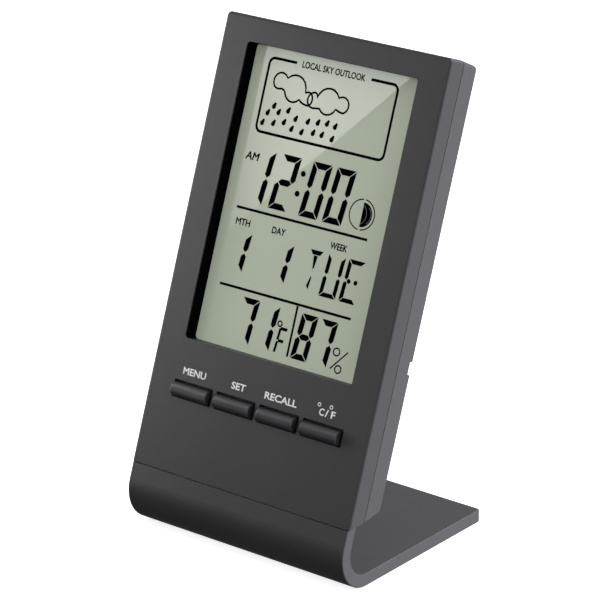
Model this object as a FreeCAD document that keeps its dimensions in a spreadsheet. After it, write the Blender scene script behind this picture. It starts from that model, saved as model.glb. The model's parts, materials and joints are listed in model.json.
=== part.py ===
import FreeCAD, Part
import math
import os
from types import SimpleNamespace

import Sketcher
from FreeCAD import Placement, Rotation, Vector

# Home weather station: a slim case with a tall liquid-crystal display and four
# buttons, leaning back on an L-shaped stand bent from one thick plate.
#
# World frame: X to the right seen from the front, Y backwards, Z up. The origin
# is on the table, under the middle of the stand.
# Case frame: X to the right, Y up the front panel from the seam between case and
# stand, Z straight out of the front panel, so a depth into the case is minus Z.

doc = FreeCAD.newDocument("WeatherStation")

# ------------------------------------------------------------ driving dimensions
SIZES = {
    # overall
    "case_width": (70.0, "width of the case"),
    "case_height": (117.5, "height of the front panel, along the panel"),
    "lean_angle": (19.8, "lean of the panel back from upright, degrees"),
    "seat_height": (17.73, "height of the seam between case and stand"),
    "base_depth": (58.8, "front to back of the stand"),
    # stand
    "stand_plate": (3.4, "thickness of the bent plate"),
    "bend_radius": (10.0, "outside radius of the bend"),
    "stand_inset": (0.3, "how far the stand stays inside the case's sides"),
    "seat_gap": (0.2, "gap between the stand and the case above it"),
    "stand_corner": (1.2, "radius of the base's rear corners"),
    "stand_edge": (0.35, "rounding of the plate's edges"),
    "tongue_width": (14.0, "width of a locating tongue"),
    "tongue_offset": (17.0, "middle of the case to the middle of a tongue"),
    "tongue_height": (5.0, "height of a tongue above the seam"),
    "tongue_thickness": (1.5, "thickness of a tongue"),
    "tongue_root": (2.0, "length of a tongue inside the plate"),
    "sliding_fit": (0.1, "clearance each side of what slides"),
    # shells
    "front_depth": (5.64, "depth of the front shell's side"),
    "shell_wall": (1.5, "wall of both shells"),
    "seam_gap": (0.25, "open groove between the shells"),
    "side_draft": (1.35, "how far the rear shell's sides lean in"),
    "top_draft": (0.7, "how far the rear shell's top leans in"),
    "corner_round": (1.2, "radius of both shells' top corners"),
    "front_round": (0.8, "rounding of the front panel's edges"),
    "rear_round": (1.0, "rounding of the rear shell's back edges"),
    "lip_depth": (1.2, "how far the rear shell's lip enters the front shell"),
    "lip_wall": (0.9, "thickness of the lip"),
    "guide_wall": (1.0, "wall behind each tongue pocket"),
    # display window
    "window_side": (8.35, "side of the case to the window"),
    "window_top_margin": (6.5, "top of the case to the window"),
    "window_rise": (10.95, "top of the slots to the window"),
    "window_corner": (1.0, "corner radius of the window"),
    "collar_wall": (1.2, "wall of the collar behind the window"),
    "collar_gap": (0.05, "gap between the collar and the display"),
    "display_depth": (4.25, "front panel to the display"),
    # buttons
    "button_pitch": (13.86, "spacing of the buttons"),
    "slot_width": (12.1, "width of a button slot"),
    "slot_height": (4.35, "height of a button slot"),
    "slot_rise": (0.6, "board's lower edge to the lower edge of the slots"),
    "button_side_gap": (0.3, "gap at each end of a button"),
    "button_low_gap": (0.2, "gap under a button"),
    "button_height": (3.7, "height of a button"),
    "button_proud": (1.75, "how far a button stands out of the panel"),
    "button_crown": (1.6, "rounding of the button's long edges"),
    "button_end": (0.35, "rounding of the button's ends"),
    "button_travel": (0.6, "press of a button"),
    "flange_margin": (0.8, "how far a button's flange passes its cap"),
    "flange_thickness": (0.9, "thickness of a button's flange"),
    "stem_width": (3.0, "width of the stem behind a button"),
    "stem_height": (2.0, "height of the stem behind a button"),
    # board and what is on it
    "spacer_depth": (1.9, "thickness of the foam spacer in front of the board"),
    "board_thickness": (1.0, "thickness of the board"),
    "board_side_margin": (0.2, "how far the board passes the glass at each side"),
    "board_roof_gap": (0.4, "gap between the board and the rib in front of the cell"),
    "board_top_margin": (0.3, "how far the board ends below the glass's top"),
    "ear_gap": (1.0, "gap between an ear and the front shell's wall"),
    "ear_height": (7.0, "height of an ear"),
    "switch_side": (6.0, "side of a switch body"),
    "switch_height": (3.5, "height of a switch body"),
    "plunger_radius": (1.5, "radius of a switch plunger"),
    "plunger_proud": (0.8, "how far a plunger stands out of its switch"),
    "plunger_length": (2.2, "length of a plunger"),
    "blob_radius": (6.5, "radius of the controller's resin cap"),
    "blob_height": (1.3, "height of the controller's resin cap"),
    "crystal_radius": (1.05, "radius of the quartz crystal's can"),
    "crystal_length": (6.2, "length of the quartz crystal's can"),
    "chip_height": (0.7, "height of the small components"),
    "chip_width": (2.0, "width of a small component"),
    "chip_side": (1.2, "depth of a small component"),
    "chip_pitch": (4.0, "spacing of the small components"),
    "crystal_gap": (3.0, "gap between the resin cap and the crystal"),
    "sensor_left": (8.0, "middle of the board to the humidity sensor"),
    "sensor_width": (7.0, "width of the humidity sensor"),
    "sensor_slit": (0.6, "width of the slits in the humidity sensor"),
    "sensor_height": (2.6, "height of the humidity sensor"),
    "sensor_depth": (1.3, "thickness of the humidity sensor"),
    "bead_left": (12.0, "middle of the board to the thermistor"),
    "bead_radius": (0.6, "radius of the thermistor's bead"),
    "bead_length": (0.9, "length of the thermistor's bead"),
    "lead_radius": (0.15, "radius of the thermistor's leads"),
    "lead_spacing": (0.5, "middle to middle of the thermistor's leads"),
    "lead_length": (0.4, "board to the thermistor's bead"),
    # display stack
    "glass_side": (1.35, "how far the glass passes the window at each side"),
    "glass_low": (3.8, "how far the glass passes the window below"),
    "glass_high": (1.8, "how far the glass passes the window above"),
    "glass_thickness": (0.7, "thickness of one glass"),
    "ledge_height": (2.5, "contact ledge of the front glass"),
    "film_thickness": (0.2, "thickness of the polariser"),
    "film_margin": (0.7, "how far the films stay inside the glass"),
    "mirror_thickness": (0.25, "thickness of the reflector"),
    "strip_height": (1.8, "height of the rubber connector strip"),
    "strip_end": (1.5, "how far the rubber strip ends inside the glass"),
    "spacer_wall": (3.0, "width of the spacer frame's bars"),
    # battery bay
    "cell_radius": (5.25, "radius of the cell over its sleeve"),
    "cell_length": (44.5, "length of the cell with its nub"),
    "cell_room": (0.27, "gap in front of the cell and behind it"),
    "cell_lift": (0.1, "gap between the cell and the door's sill"),
    "sleeve_wall": (0.1, "thickness of the cell's sleeve"),
    "sleeve_margin": (0.6, "how much shorter the sleeve is at each end"),
    "nub_radius": (1.9, "radius of the cell's nub"),
    "nub_length": (0.9, "length of the cell's nub"),
    "spring_room": (5.5, "length left for the battery spring"),
    "bay_wall": (1.2, "thickness of the bay's end walls"),
    "roof_gap": (0.15, "gap between the cell and the ribs above it"),
    "roof_wall": (0.6, "thickness of the rib in front of the cell"),
    "contact_thickness": (0.4, "thickness of a contact plate"),
    "contact_side": (8.0, "side of a contact plate"),
    "tab_width": (3.0, "width of a contact's tab"),
    "tab_reach": (1.5, "how far a tab reaches up behind the board"),
    "spring_wire": (0.35, "radius of the battery spring's wire"),
    "spring_radius": (3.2, "radius of the battery spring at its wide end"),
    "spring_turns": (3.5, "turns of the battery spring"),
    # battery door
    "door_rise": (1.6, "ribs above the cell to the door's upper edge"),
    "door_gap": (0.3, "gap round the door"),
    "door_clear": (0.1, "gap between the door and what is in front of it"),
    "hinge_inset": (1.3, "back of the case to the door's hinge line"),
    "pin_radius": (0.7, "radius of the door's pins"),
    "pin_length": (1.4, "length of a pin"),
    "running_fit": (0.05, "radial clearance of a pin in its bore"),
    "lug_wall": (0.8, "wall round a pin's bore"),
    "latch_width": (10.0, "width of the door's latch"),
    "latch_height": (4.0, "height of the door's latch"),
    "latch_slit": (0.7, "width of the slits beside the latch"),
    "thumb_depth": (0.6, "depth of the thumb hollow in the latch"),
    "thumb_margin": (1.4, "latch's edge to its thumb hollow"),
    # back of the case
    "channel_bottom": (39.2, "seam to the lower edge of the vent channel"),
    "channel_height": (3.4, "height of the vent channel"),
    "channel_depth": (1.9, "depth of the vent channel"),
    "vent_width": (3.0, "width of a vent"),
    "vent_height": (1.8, "height of a vent"),
    "vent_pitch": (5.0, "spacing of the vents"),
    "hanger_drop": (17.5, "top of the case to the middle of the hanging hole"),
    "hanger_radius": (3.6, "radius of the hanging hole"),
    "hanger_slot": (3.8, "width of the hanging slot"),
    "hanger_rise": (7.0, "hanging hole to the end of its slot"),
    "buzzer_drop": (16.0, "middle of the hanging hole to the middle of the buzzer"),
    "buzzer_radius": (8.0, "radius of the buzzer's brass disc"),
    "buzzer_thickness": (0.25, "thickness of the disc, and of its ceramic"),
    "ceramic_radius": (5.5, "radius of the ceramic"),
    "buzzer_ledge": (0.9, "height of the ledge under the disc"),
    "buzzer_rim": (0.6, "overlap of the ledge and the disc"),
    "sound_radius": (0.8, "radius of a sound hole"),
    "sound_circle": (4.0, "radius of the ring of sound holes"),
    "coil_radius": (0.8, "radius of a buzzer spring"),
    "coil_wire": (0.15, "radius of a buzzer spring's wire"),
    "coil_turns": (4.0, "turns of a buzzer spring"),
    # screws
    "case_screw_inset": (4.5, "side of the case to a case screw"),
    "case_screw_low": (9.5, "seam to the lower case screws"),
    "case_screw_drop": (2.8, "inside of the top wall to the upper case screws"),
    "board_screw_inset": (4.2, "side of the board to a lower board screw"),
    "board_screw_drop": (3.2, "lower edge of the glass to the lower board screws"),
    "ear_screw_inset": (4.8, "side of the case to an ear's screw"),
    "boss_radius": (2.2, "radius of a screw boss"),
    "boss_step": (1.11, "seam between the shells to where two bosses meet"),
    "screw_radius": (1.0, "radius of a screw's shank"),
    "screw_head": (1.75, "radius of a screw's head"),
    "head_height": (1.2, "height of a screw's head"),
    "head_sink": (1.6, "depth of a case screw's head below the back"),
    "case_screw_length": (9.0, "length of a case screw's shank"),
    "board_screw_length": (5.0, "length of a board screw's shank"),
    "recess_width": (0.45, "width of the cross recess's arms"),
    "recess_reach": (1.05, "length of one arm of the cross recess"),
    "recess_depth": (0.6, "depth of the cross recess"),
    "pilot_room": (0.2, "depth of a pilot hole past the screw's tip"),
    "thread_fit": (0.02, "clearance round a screw's shank in its boss"),
    "shank_clear": (0.2, "clearance round a screw's shank in the clamped piece"),
}

BUTTONS = ("mode", "adjust", "memory", "unit")
VENTS = 7
SOUND_HOLES = 6
CHIPS = 8
CHIP_COLUMNS = 4
CAPACITORS = 3
SENSOR_SLITS = 3
OVERSHOOT = 1.0                # how far a cutting solid passes the piece that it cuts
SAME = 0.02                    # two places closer than this are the same
NEARBY = 0.1                   # wide enough for the middle of a drafted edge
STRAIGHT = 0.999               # share of an edge's length that runs along its axis

sheet = doc.addObject("Spreadsheet::Sheet", "Dimensions")
for row, (alias, (amount, note)) in enumerate(SIZES.items(), 1):
    sheet.set("A%d" % row, alias)
    sheet.set("B%d" % row, str(amount))
    sheet.set("C%d" % row, note)
    sheet.setAlias("B%d" % row, alias)
doc.recompute()


class Size:
    """A length or ratio that knows both its sheet formula and its value."""

    def __init__(self, formula, value):
        self.formula = formula
        self.value = value

    def joined(self, sign, other, value):
        return Size("(%s %s %s)" % (self.formula, sign, other.formula), value)

    def __add__(self, other):
        other = as_size(other)
        return self.joined("+", other, self.value + other.value)

    def __sub__(self, other):
        other = as_size(other)
        return self.joined("-", other, self.value - other.value)

    def __mul__(self, other):
        other = as_size(other)
        return self.joined("*", other, self.value * other.value)

    def __truediv__(self, other):
        other = as_size(other)
        return self.joined("/", other, self.value / other.value)

    def __radd__(self, other):
        return as_size(other) + self

    def __rsub__(self, other):
        return as_size(other) - self

    def __rmul__(self, other):
        return as_size(other) * self

    def __neg__(self):
        return as_size(0) - self


def as_size(value):
    return value if isinstance(value, Size) else Size(repr(float(value)), float(value))


def trig(name, angle):
    return Size("%s(%s)" % (name, angle.formula), getattr(math, name)(math.radians(angle.value)))


g = SimpleNamespace(**{alias: Size("Dimensions." + alias, sheet.get(alias)) for alias in SIZES})
ZERO = as_size(0)

# ------------------------------------------------------------ places worked out
lean_sine = trig("sin", g.lean_angle)
lean_cosine = trig("cos", g.lean_angle)
lean_slope = trig("tan", g.lean_angle)
# where the panel's plane, carried down, would meet the table
toe = g.bend_radius - g.base_depth / 2 - g.bend_radius * (lean_sine + 1) / lean_cosine
panel_foot = toe + g.seat_height * lean_slope
half_width = g.case_width / 2
case_depth = (g.shell_wall + g.cell_radius + g.cell_room) * 2
rear_front = g.front_depth + g.seam_gap
back_inside = case_depth - g.shell_wall
floor_wall = g.shell_wall / lean_cosine
boss_split = rear_front + g.boss_step
head_seat = case_depth - g.head_sink
# battery bay and door
hinge_depth = case_depth - g.hinge_inset
door_sill = case_depth * lean_slope + floor_wall
hinge_up = door_sill + g.door_gap + g.hinge_inset
cell_depth = case_depth / 2
cell_height = door_sill + g.cell_lift + g.cell_radius
bay_roof = cell_height + g.cell_radius + g.roof_gap
bay_half = (g.cell_length + g.spring_room) / 2 + g.contact_thickness
plate_face = bay_half - g.contact_thickness
door_half = bay_half - g.door_gap
door_top = bay_roof + g.door_rise
# slots, window and display, up the panel
board_bottom = bay_roof + g.roof_wall + g.board_roof_gap
slot_bottom = board_bottom + g.slot_rise
window_bottom = slot_bottom + g.slot_height + g.window_rise
window_top = g.case_height - g.window_top_margin
window_half = half_width - g.window_side
window_middle = (window_bottom + window_top) / 2
glass_half = window_half + g.glass_side
glass_bottom = window_bottom - g.glass_low
glass_top = window_top + g.glass_high
board_half = glass_half + g.board_side_margin
board_top = glass_top - g.board_top_margin
# display and board, into the case
glass_front = g.display_depth + g.film_thickness
glass_split = glass_front + g.glass_thickness
glass_back = glass_split + g.glass_thickness
mirror_back = glass_back + g.mirror_thickness
board_front = mirror_back + g.spacer_depth
board_back = board_front + g.board_thickness
# buttons and switches
button_low = slot_bottom + g.button_low_gap
button_middle = button_low + g.button_height / 2
switch_front = board_front - g.switch_height
plunger_tip = switch_front - g.plunger_proud
flange_front = g.shell_wall + g.sliding_fit
# back of the case
channel_floor = case_depth - g.channel_depth
hanger_bottom = g.case_height - g.hanger_drop
buzzer_height = hanger_bottom - g.buzzer_drop
ledge_front = back_inside - g.buzzer_ledge


def side_at(depth):
    """Half width of the rear shell's outside at a depth."""
    return half_width - g.side_draft * (depth - g.front_depth) / (case_depth - g.front_depth)


def top_at(depth):
    """Top of the rear shell's outside at a depth."""
    return g.case_height - g.top_draft * (depth - g.front_depth) / (case_depth - g.front_depth)


def floor_at(depth):
    """Underside of the case at a depth: level with the table."""
    return depth * lean_slope


# ------------------------------------------------------------ drawing helpers
def bind(thing, name, size):
    thing.setExpression(name, as_size(size).formula)


def tilt(thing, across=ZERO):
    """Put something drawn in the case frame where the case stands."""
    thing.Placement = Placement(Vector(), Rotation(Vector(1, 0, 0), 90 - g.lean_angle.value))
    bind(thing, "Placement.Rotation.Angle", 90 - g.lean_angle)
    bind(thing, "Placement.Base.x", across)
    bind(thing, "Placement.Base.y", panel_foot)
    bind(thing, "Placement.Base.z", g.seat_height)
    return thing


def sketch(part, name, role, height=ZERO):
    plane = [item for item in part.Origin.OriginFeatures if item.Role == role][0]
    drawing = part.newObject("Sketcher::SketchObject", name)
    drawing.AttachmentSupport = [(plane, "")]
    drawing.MapMode = "FlatFace"
    bind(drawing, "AttachmentOffset.Base.z", height)
    return drawing


def pin_point(drawing, line, end, point):
    """Tie one end of a line to its place on the drawing."""
    for kind, size in zip(("DistanceX", "DistanceY"), point):
        number = drawing.addConstraint(Sketcher.Constraint(kind, -1, 1, line, end, size.value))
        bind(drawing, "Constraints[%d]" % number, size)


def polygon(drawing, points):
    """A closed outline of straight lines."""
    points = [tuple(as_size(value) for value in point) for point in points]
    corners = [Vector(across.value, up.value, 0) for across, up in points]
    lines = []
    for start, end in zip(corners, corners[1:] + corners[:1]):
        lines.append(drawing.addGeometry(Part.LineSegment(start, end)))
    for line, after, point in zip(lines, lines[1:] + lines[:1], points):
        drawing.addConstraint(Sketcher.Constraint("Coincident", line, 2, after, 1))
        pin_point(drawing, line, 1, point)
    return drawing


def rectangle(drawing, left, right, low, high):
    return polygon(drawing, [(left, low), (right, low), (right, high), (left, high)])


def circle(drawing, across, up, radius):
    across, up, radius = as_size(across), as_size(up), as_size(radius)
    centre = Vector(across.value, up.value, 0)
    ring = drawing.addGeometry(Part.Circle(centre, Vector(0, 0, 1), radius.value))
    pin_point(drawing, ring, 3, (across, up))
    number = drawing.addConstraint(Sketcher.Constraint("Radius", ring, radius.value))
    bind(drawing, "Constraints[%d]" % number, radius)
    return drawing


def new_body(name):
    part = doc.addObject("PartDesign::Body", name)
    part.Label = name
    return part


def extrude(kind, part, name, drawing, length, reversed=False, midplane=False):
    """A pad or a pocket, checked to have changed the solid the right way."""
    before = part.Shape.Volume if part.Tip else 0.0
    feature = part.newObject("PartDesign::" + kind, name)
    feature.Profile = drawing
    bind(feature, "Length", length)
    feature.Reversed = reversed
    if midplane:
        feature.SideType = "Symmetric"
    drawing.Visibility = False
    doc.recompute()
    grown = part.Shape.Volume - before
    if (grown <= 0) == (kind == "Pad"):
        raise ValueError("%s %s changed the volume by %g" % (part.Label, name, grown))
    return feature


def pad(part, name, drawing, length, **options):
    return extrude("Pad", part, name, drawing, length, **options)


def pocket(part, name, drawing, length, **options):
    return extrude("Pocket", part, name, drawing, length, **options)


def ease(part, name, radius, chosen):
    """Round the edges of the solid so far that pass the test."""
    base = part.Tip
    names = ["Edge%d" % number for number, edge in enumerate(base.Shape.Edges, 1) if chosen(edge)]
    feature = part.newObject("PartDesign::Fillet", name)
    feature.Base = (base, names)
    bind(feature, "Radius", radius)
    doc.recompute()
    return feature


def middle(edge):
    return edge.valueAt((edge.FirstParameter + edge.LastParameter) / 2)


def runs(edge, axis):
    """Whether a straight edge runs along an axis: 0, 1 or 2."""
    if len(edge.Vertexes) < 2:
        return False
    step = edge.Vertexes[1].Point - edge.Vertexes[0].Point
    return abs(step[axis]) > STRAIGHT * edge.Length


def near(value, size, slack=SAME):
    return abs(value - as_size(size).value) < slack


def slab(name, across, up, depth):
    """A block in the case frame; depth runs from the front of it to the back."""
    block = doc.addObject("Part::Box", name)
    depth = (-as_size(depth[1]), -as_size(depth[0]))
    for axis, side, (low, high) in zip("xyz", ("Length", "Width", "Height"), (across, up, depth)):
        bind(block, "Placement.Base." + axis, low)
        bind(block, side, as_size(high) - low)
    return block


def rod(name, across, up, radius, depth):
    """A cylinder square to the panel."""
    cylinder = doc.addObject("Part::Cylinder", name)
    bind(cylinder, "Radius", radius)
    bind(cylinder, "Height", as_size(depth[1]) - depth[0])
    bind(cylinder, "Placement.Base.x", across)
    bind(cylinder, "Placement.Base.y", up)
    bind(cylinder, "Placement.Base.z", -as_size(depth[1]))
    return cylinder


def crossbar(name, across, up, depth, radius):
    """A cylinder that runs along X."""
    cylinder = doc.addObject("Part::Cylinder", name)
    cylinder.Placement = Placement(Vector(), Rotation(Vector(0, 1, 0), 90))
    bind(cylinder, "Radius", radius)
    bind(cylinder, "Height", as_size(across[1]) - across[0])
    bind(cylinder, "Placement.Base.x", across[0])
    bind(cylinder, "Placement.Base.y", up)
    bind(cylinder, "Placement.Base.z", -as_size(depth))
    return cylinder


def fused(name, pieces):
    whole = doc.addObject("Part::MultiFuse", name)
    whole.Shapes = pieces
    return whole


def cut(name, base, tool):
    whole = doc.addObject("Part::Cut", name)
    whole.Base = base
    whole.Tool = tool
    return whole


def group(name, pieces):
    """Separate identical solids that share one node."""
    whole = doc.addObject("Part::Compound", name)
    whole.Links = pieces
    return whole


NODES = []


def finish(thing, name, in_case=True, across=ZERO):
    """Name a sub-part and put it where it stands."""
    thing.Label = name
    if in_case:
        tilt(thing, across)
    NODES.append(thing)
    return thing


BOARD_SCREWS = []
CASE_SCREWS = []
for side in (-1, 1):
    BOARD_SCREWS.append(((board_half - g.board_screw_inset) * side, glass_bottom - g.board_screw_drop))
    BOARD_SCREWS.append(((half_width - g.ear_screw_inset) * side, window_middle))
    for up in (g.case_screw_low, g.case_height - g.shell_wall - g.case_screw_drop):
        CASE_SCREWS.append(((half_width - g.case_screw_inset) * side, up))


# ------------------------------------------------------------ stand
def make_stand():
    part = new_body("stand_foot")
    top = g.seat_height - g.seat_gap
    back = g.base_depth / 2
    across_plate = g.stand_plate / lean_cosine
    width = g.case_width - g.stand_inset * 2
    profile = polygon(sketch(part, "Profile", "YZ_Plane"), [
        (toe, 0),
        (back, 0),
        (back, g.stand_plate),
        (toe + across_plate + g.stand_plate * lean_slope, g.stand_plate),
        (toe + across_plate + top * lean_slope, top),
        (toe + top * lean_slope, top),
    ])
    pad(part, "BentPlate", profile, width, midplane=True)

    def outer_bend(edge):
        place = middle(edge)
        return runs(edge, 0) and near(place.y, toe) and near(place.z, 0)

    def inner_bend(edge):
        place = middle(edge)
        return runs(edge, 0) and place.y < 0 and near(place.z, g.stand_plate)

    def rear_corner(edge):
        return runs(edge, 2) and near(middle(edge).y, back)

    def outline_edge(edge):
        # the plate's long side edges, and the edges round its rear, but not those at the seam
        place = middle(edge)
        flat = near(place.z, 0) or near(place.z, g.stand_plate)
        side = near(abs(place.x), width / 2) and not near(place.z, top)
        return (side and not runs(edge, 2)) or (flat and place.y > (back - g.stand_corner).value)

    ease(part, "OuterBend", g.bend_radius, outer_bend)
    ease(part, "InnerBend", g.bend_radius - g.stand_plate, inner_bend)
    ease(part, "RearCorners", g.stand_corner, rear_corner)
    ease(part, "PlateEdges", g.stand_edge, outline_edge)

    def at(up, depth):
        return (panel_foot + up * lean_sine + depth * lean_cosine,
                g.seat_height + up * lean_cosine - depth * lean_sine)

    front = flange_front
    rear = front + g.tongue_thickness
    tongue = polygon(sketch(part, "TongueProfile", "YZ_Plane"), [
        at(-g.tongue_root, front),
        at(-g.tongue_root, rear),
        at(g.tongue_height, rear),
        at(g.tongue_height, front),
    ])
    pad(part, "Tongues", tongue, g.tongue_offset * 2 + g.tongue_width, midplane=True)
    lowest = (as_size(0), rear)
    gap = polygon(sketch(part, "TongueGapProfile", "YZ_Plane"), [
        (at(*lowest)[0] - g.stand_plate * 2, top),
        (at(*lowest)[0] + g.stand_plate * 2, top),
        (at(*lowest)[0] + g.stand_plate * 2, top + g.tongue_height * 2),
        (at(*lowest)[0] - g.stand_plate * 2, top + g.tongue_height * 2),
    ])
    pocket(part, "TongueGap", gap, g.tongue_offset * 2 - g.tongue_width, midplane=True)
    finish(part, "stand_foot", in_case=False)


# ------------------------------------------------------------ front shell
def make_front_bezel():
    part = new_body("front_bezel")
    outside = polygon(sketch(part, "Outside", "YZ_Plane"), [
        (0, 0),
        (g.case_height, 0),
        (g.case_height, -g.front_depth),
        (floor_at(g.front_depth), -g.front_depth),
    ])
    pad(part, "Block", outside, g.case_width, midplane=True)

    def upright_front(edge):
        return runs(edge, 1) and near(middle(edge).z, 0)

    def top_corner(edge):
        return runs(edge, 2) and near(middle(edge).y, g.case_height)

    def top_front(edge):
        place = middle(edge)
        return runs(edge, 0) and near(place.y, g.case_height) and near(place.z, 0)

    ease(part, "TopCorners", g.corner_round, top_corner)
    ease(part, "FrontEdges", g.front_round, lambda edge: upright_front(edge) or top_front(edge))

    inner = half_width - g.shell_wall
    inside = polygon(sketch(part, "Inside", "YZ_Plane"), [
        (floor_at(g.shell_wall) + floor_wall, -g.shell_wall),
        (g.case_height - g.shell_wall, -g.shell_wall),
        (g.case_height - g.shell_wall, -g.front_depth),
        (floor_at(g.front_depth) + floor_wall, -g.front_depth),
    ])
    pocket(part, "Hollow", inside, inner * 2, midplane=True)

    collar_depth = g.display_depth - g.shell_wall - g.collar_gap
    collar = rectangle(sketch(part, "CollarOutline", "XY_Plane", -g.shell_wall),
                       -window_half - g.collar_wall, window_half + g.collar_wall,
                       window_bottom - g.collar_wall, window_top + g.collar_wall)
    pad(part, "Collar", collar, collar_depth, reversed=True)
    window = rectangle(sketch(part, "WindowOutline", "XY_Plane"),
                       -window_half, window_half, window_bottom, window_top)
    pocket(part, "Window", window, g.front_depth)

    def window_corner(edge):
        place = middle(edge)
        at_side = near(abs(place.x), window_half)
        return runs(edge, 2) and at_side and (near(place.y, window_bottom) or near(place.y, window_top))

    ease(part, "WindowCorners", g.window_corner, window_corner)

    for number, name in enumerate(BUTTONS):
        across = g.button_pitch * (number - (len(BUTTONS) - 1) / 2)
        slot = rectangle(sketch(part, name.title() + "SlotOutline", "XY_Plane"),
                         across - g.slot_width / 2, across + g.slot_width / 2,
                         slot_bottom, slot_bottom + g.slot_height)
        pocket(part, name.title() + "Slot", slot, g.shell_wall * 2)

    bosses = sketch(part, "BoardBossOutlines", "XY_Plane", -g.shell_wall)
    for across, up in BOARD_SCREWS:
        circle(bosses, across, up, g.boss_radius)
    pad(part, "BoardBosses", bosses, board_front - g.shell_wall, reversed=True)
    bosses = sketch(part, "CaseBossOutlines", "XY_Plane", -g.shell_wall)
    for across, up in CASE_SCREWS:
        circle(bosses, across, up, g.boss_radius)
    pad(part, "CaseBosses", bosses, boss_split - g.shell_wall, reversed=True)
    for name, screws, depth, length in (
            ("BoardPilots", BOARD_SCREWS, board_front, g.board_screw_length),
            ("CasePilots", CASE_SCREWS, boss_split, g.case_screw_length)):
        if name == "CasePilots":
            length = g.case_screw_length - (head_seat - boss_split)
        pilots = sketch(part, name + "Outlines", "XY_Plane", -depth)
        for across, up in screws:
            circle(pilots, across, up, g.screw_radius + g.thread_fit)
        pocket(part, name, pilots, length + g.pilot_room, reversed=True)

    rib = rectangle(sketch(part, "RoofRibOutline", "XY_Plane", -g.shell_wall),
                    -bay_half + g.sliding_fit, bay_half - g.sliding_fit,
                    bay_roof, bay_roof + g.roof_wall)
    pad(part, "RoofRib", rib, board_front - g.shell_wall - g.door_gap, reversed=True)

    # the two pockets that the stand's tongues slide into
    pocket_back = flange_front + g.tongue_thickness + g.sliding_fit
    for side, name in ((-1, "Left"), (1, "Right")):
        half = g.tongue_width / 2 + g.sliding_fit
        left = g.tongue_offset * side - half
        right = g.tongue_offset * side + half
        guide = rectangle(sketch(part, name + "GuideOutline", "XY_Plane", -pocket_back),
                          left - g.guide_wall, right + g.guide_wall,
                          floor_at(pocket_back) + floor_wall / 2, g.tongue_height + g.guide_wall)
        pad(part, name + "Guide", guide, g.guide_wall, reversed=True)
        opening = rectangle(sketch(part, name + "PocketOutline", "XY_Plane", -flange_front + g.sliding_fit),
                            left, right, -g.sliding_fit, g.tongue_height + g.sliding_fit * 2)
        pocket(part, name + "Pocket", opening, pocket_back - g.shell_wall)
    finish(part, "front_bezel")


# ------------------------------------------------------------ rear shell
def loft(kind, part, name, first, second):
    feature = part.newObject("PartDesign::" + kind, name)
    feature.Profile = first
    feature.Sections = [second]
    feature.Ruled = True
    doc.recompute()
    return feature


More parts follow.
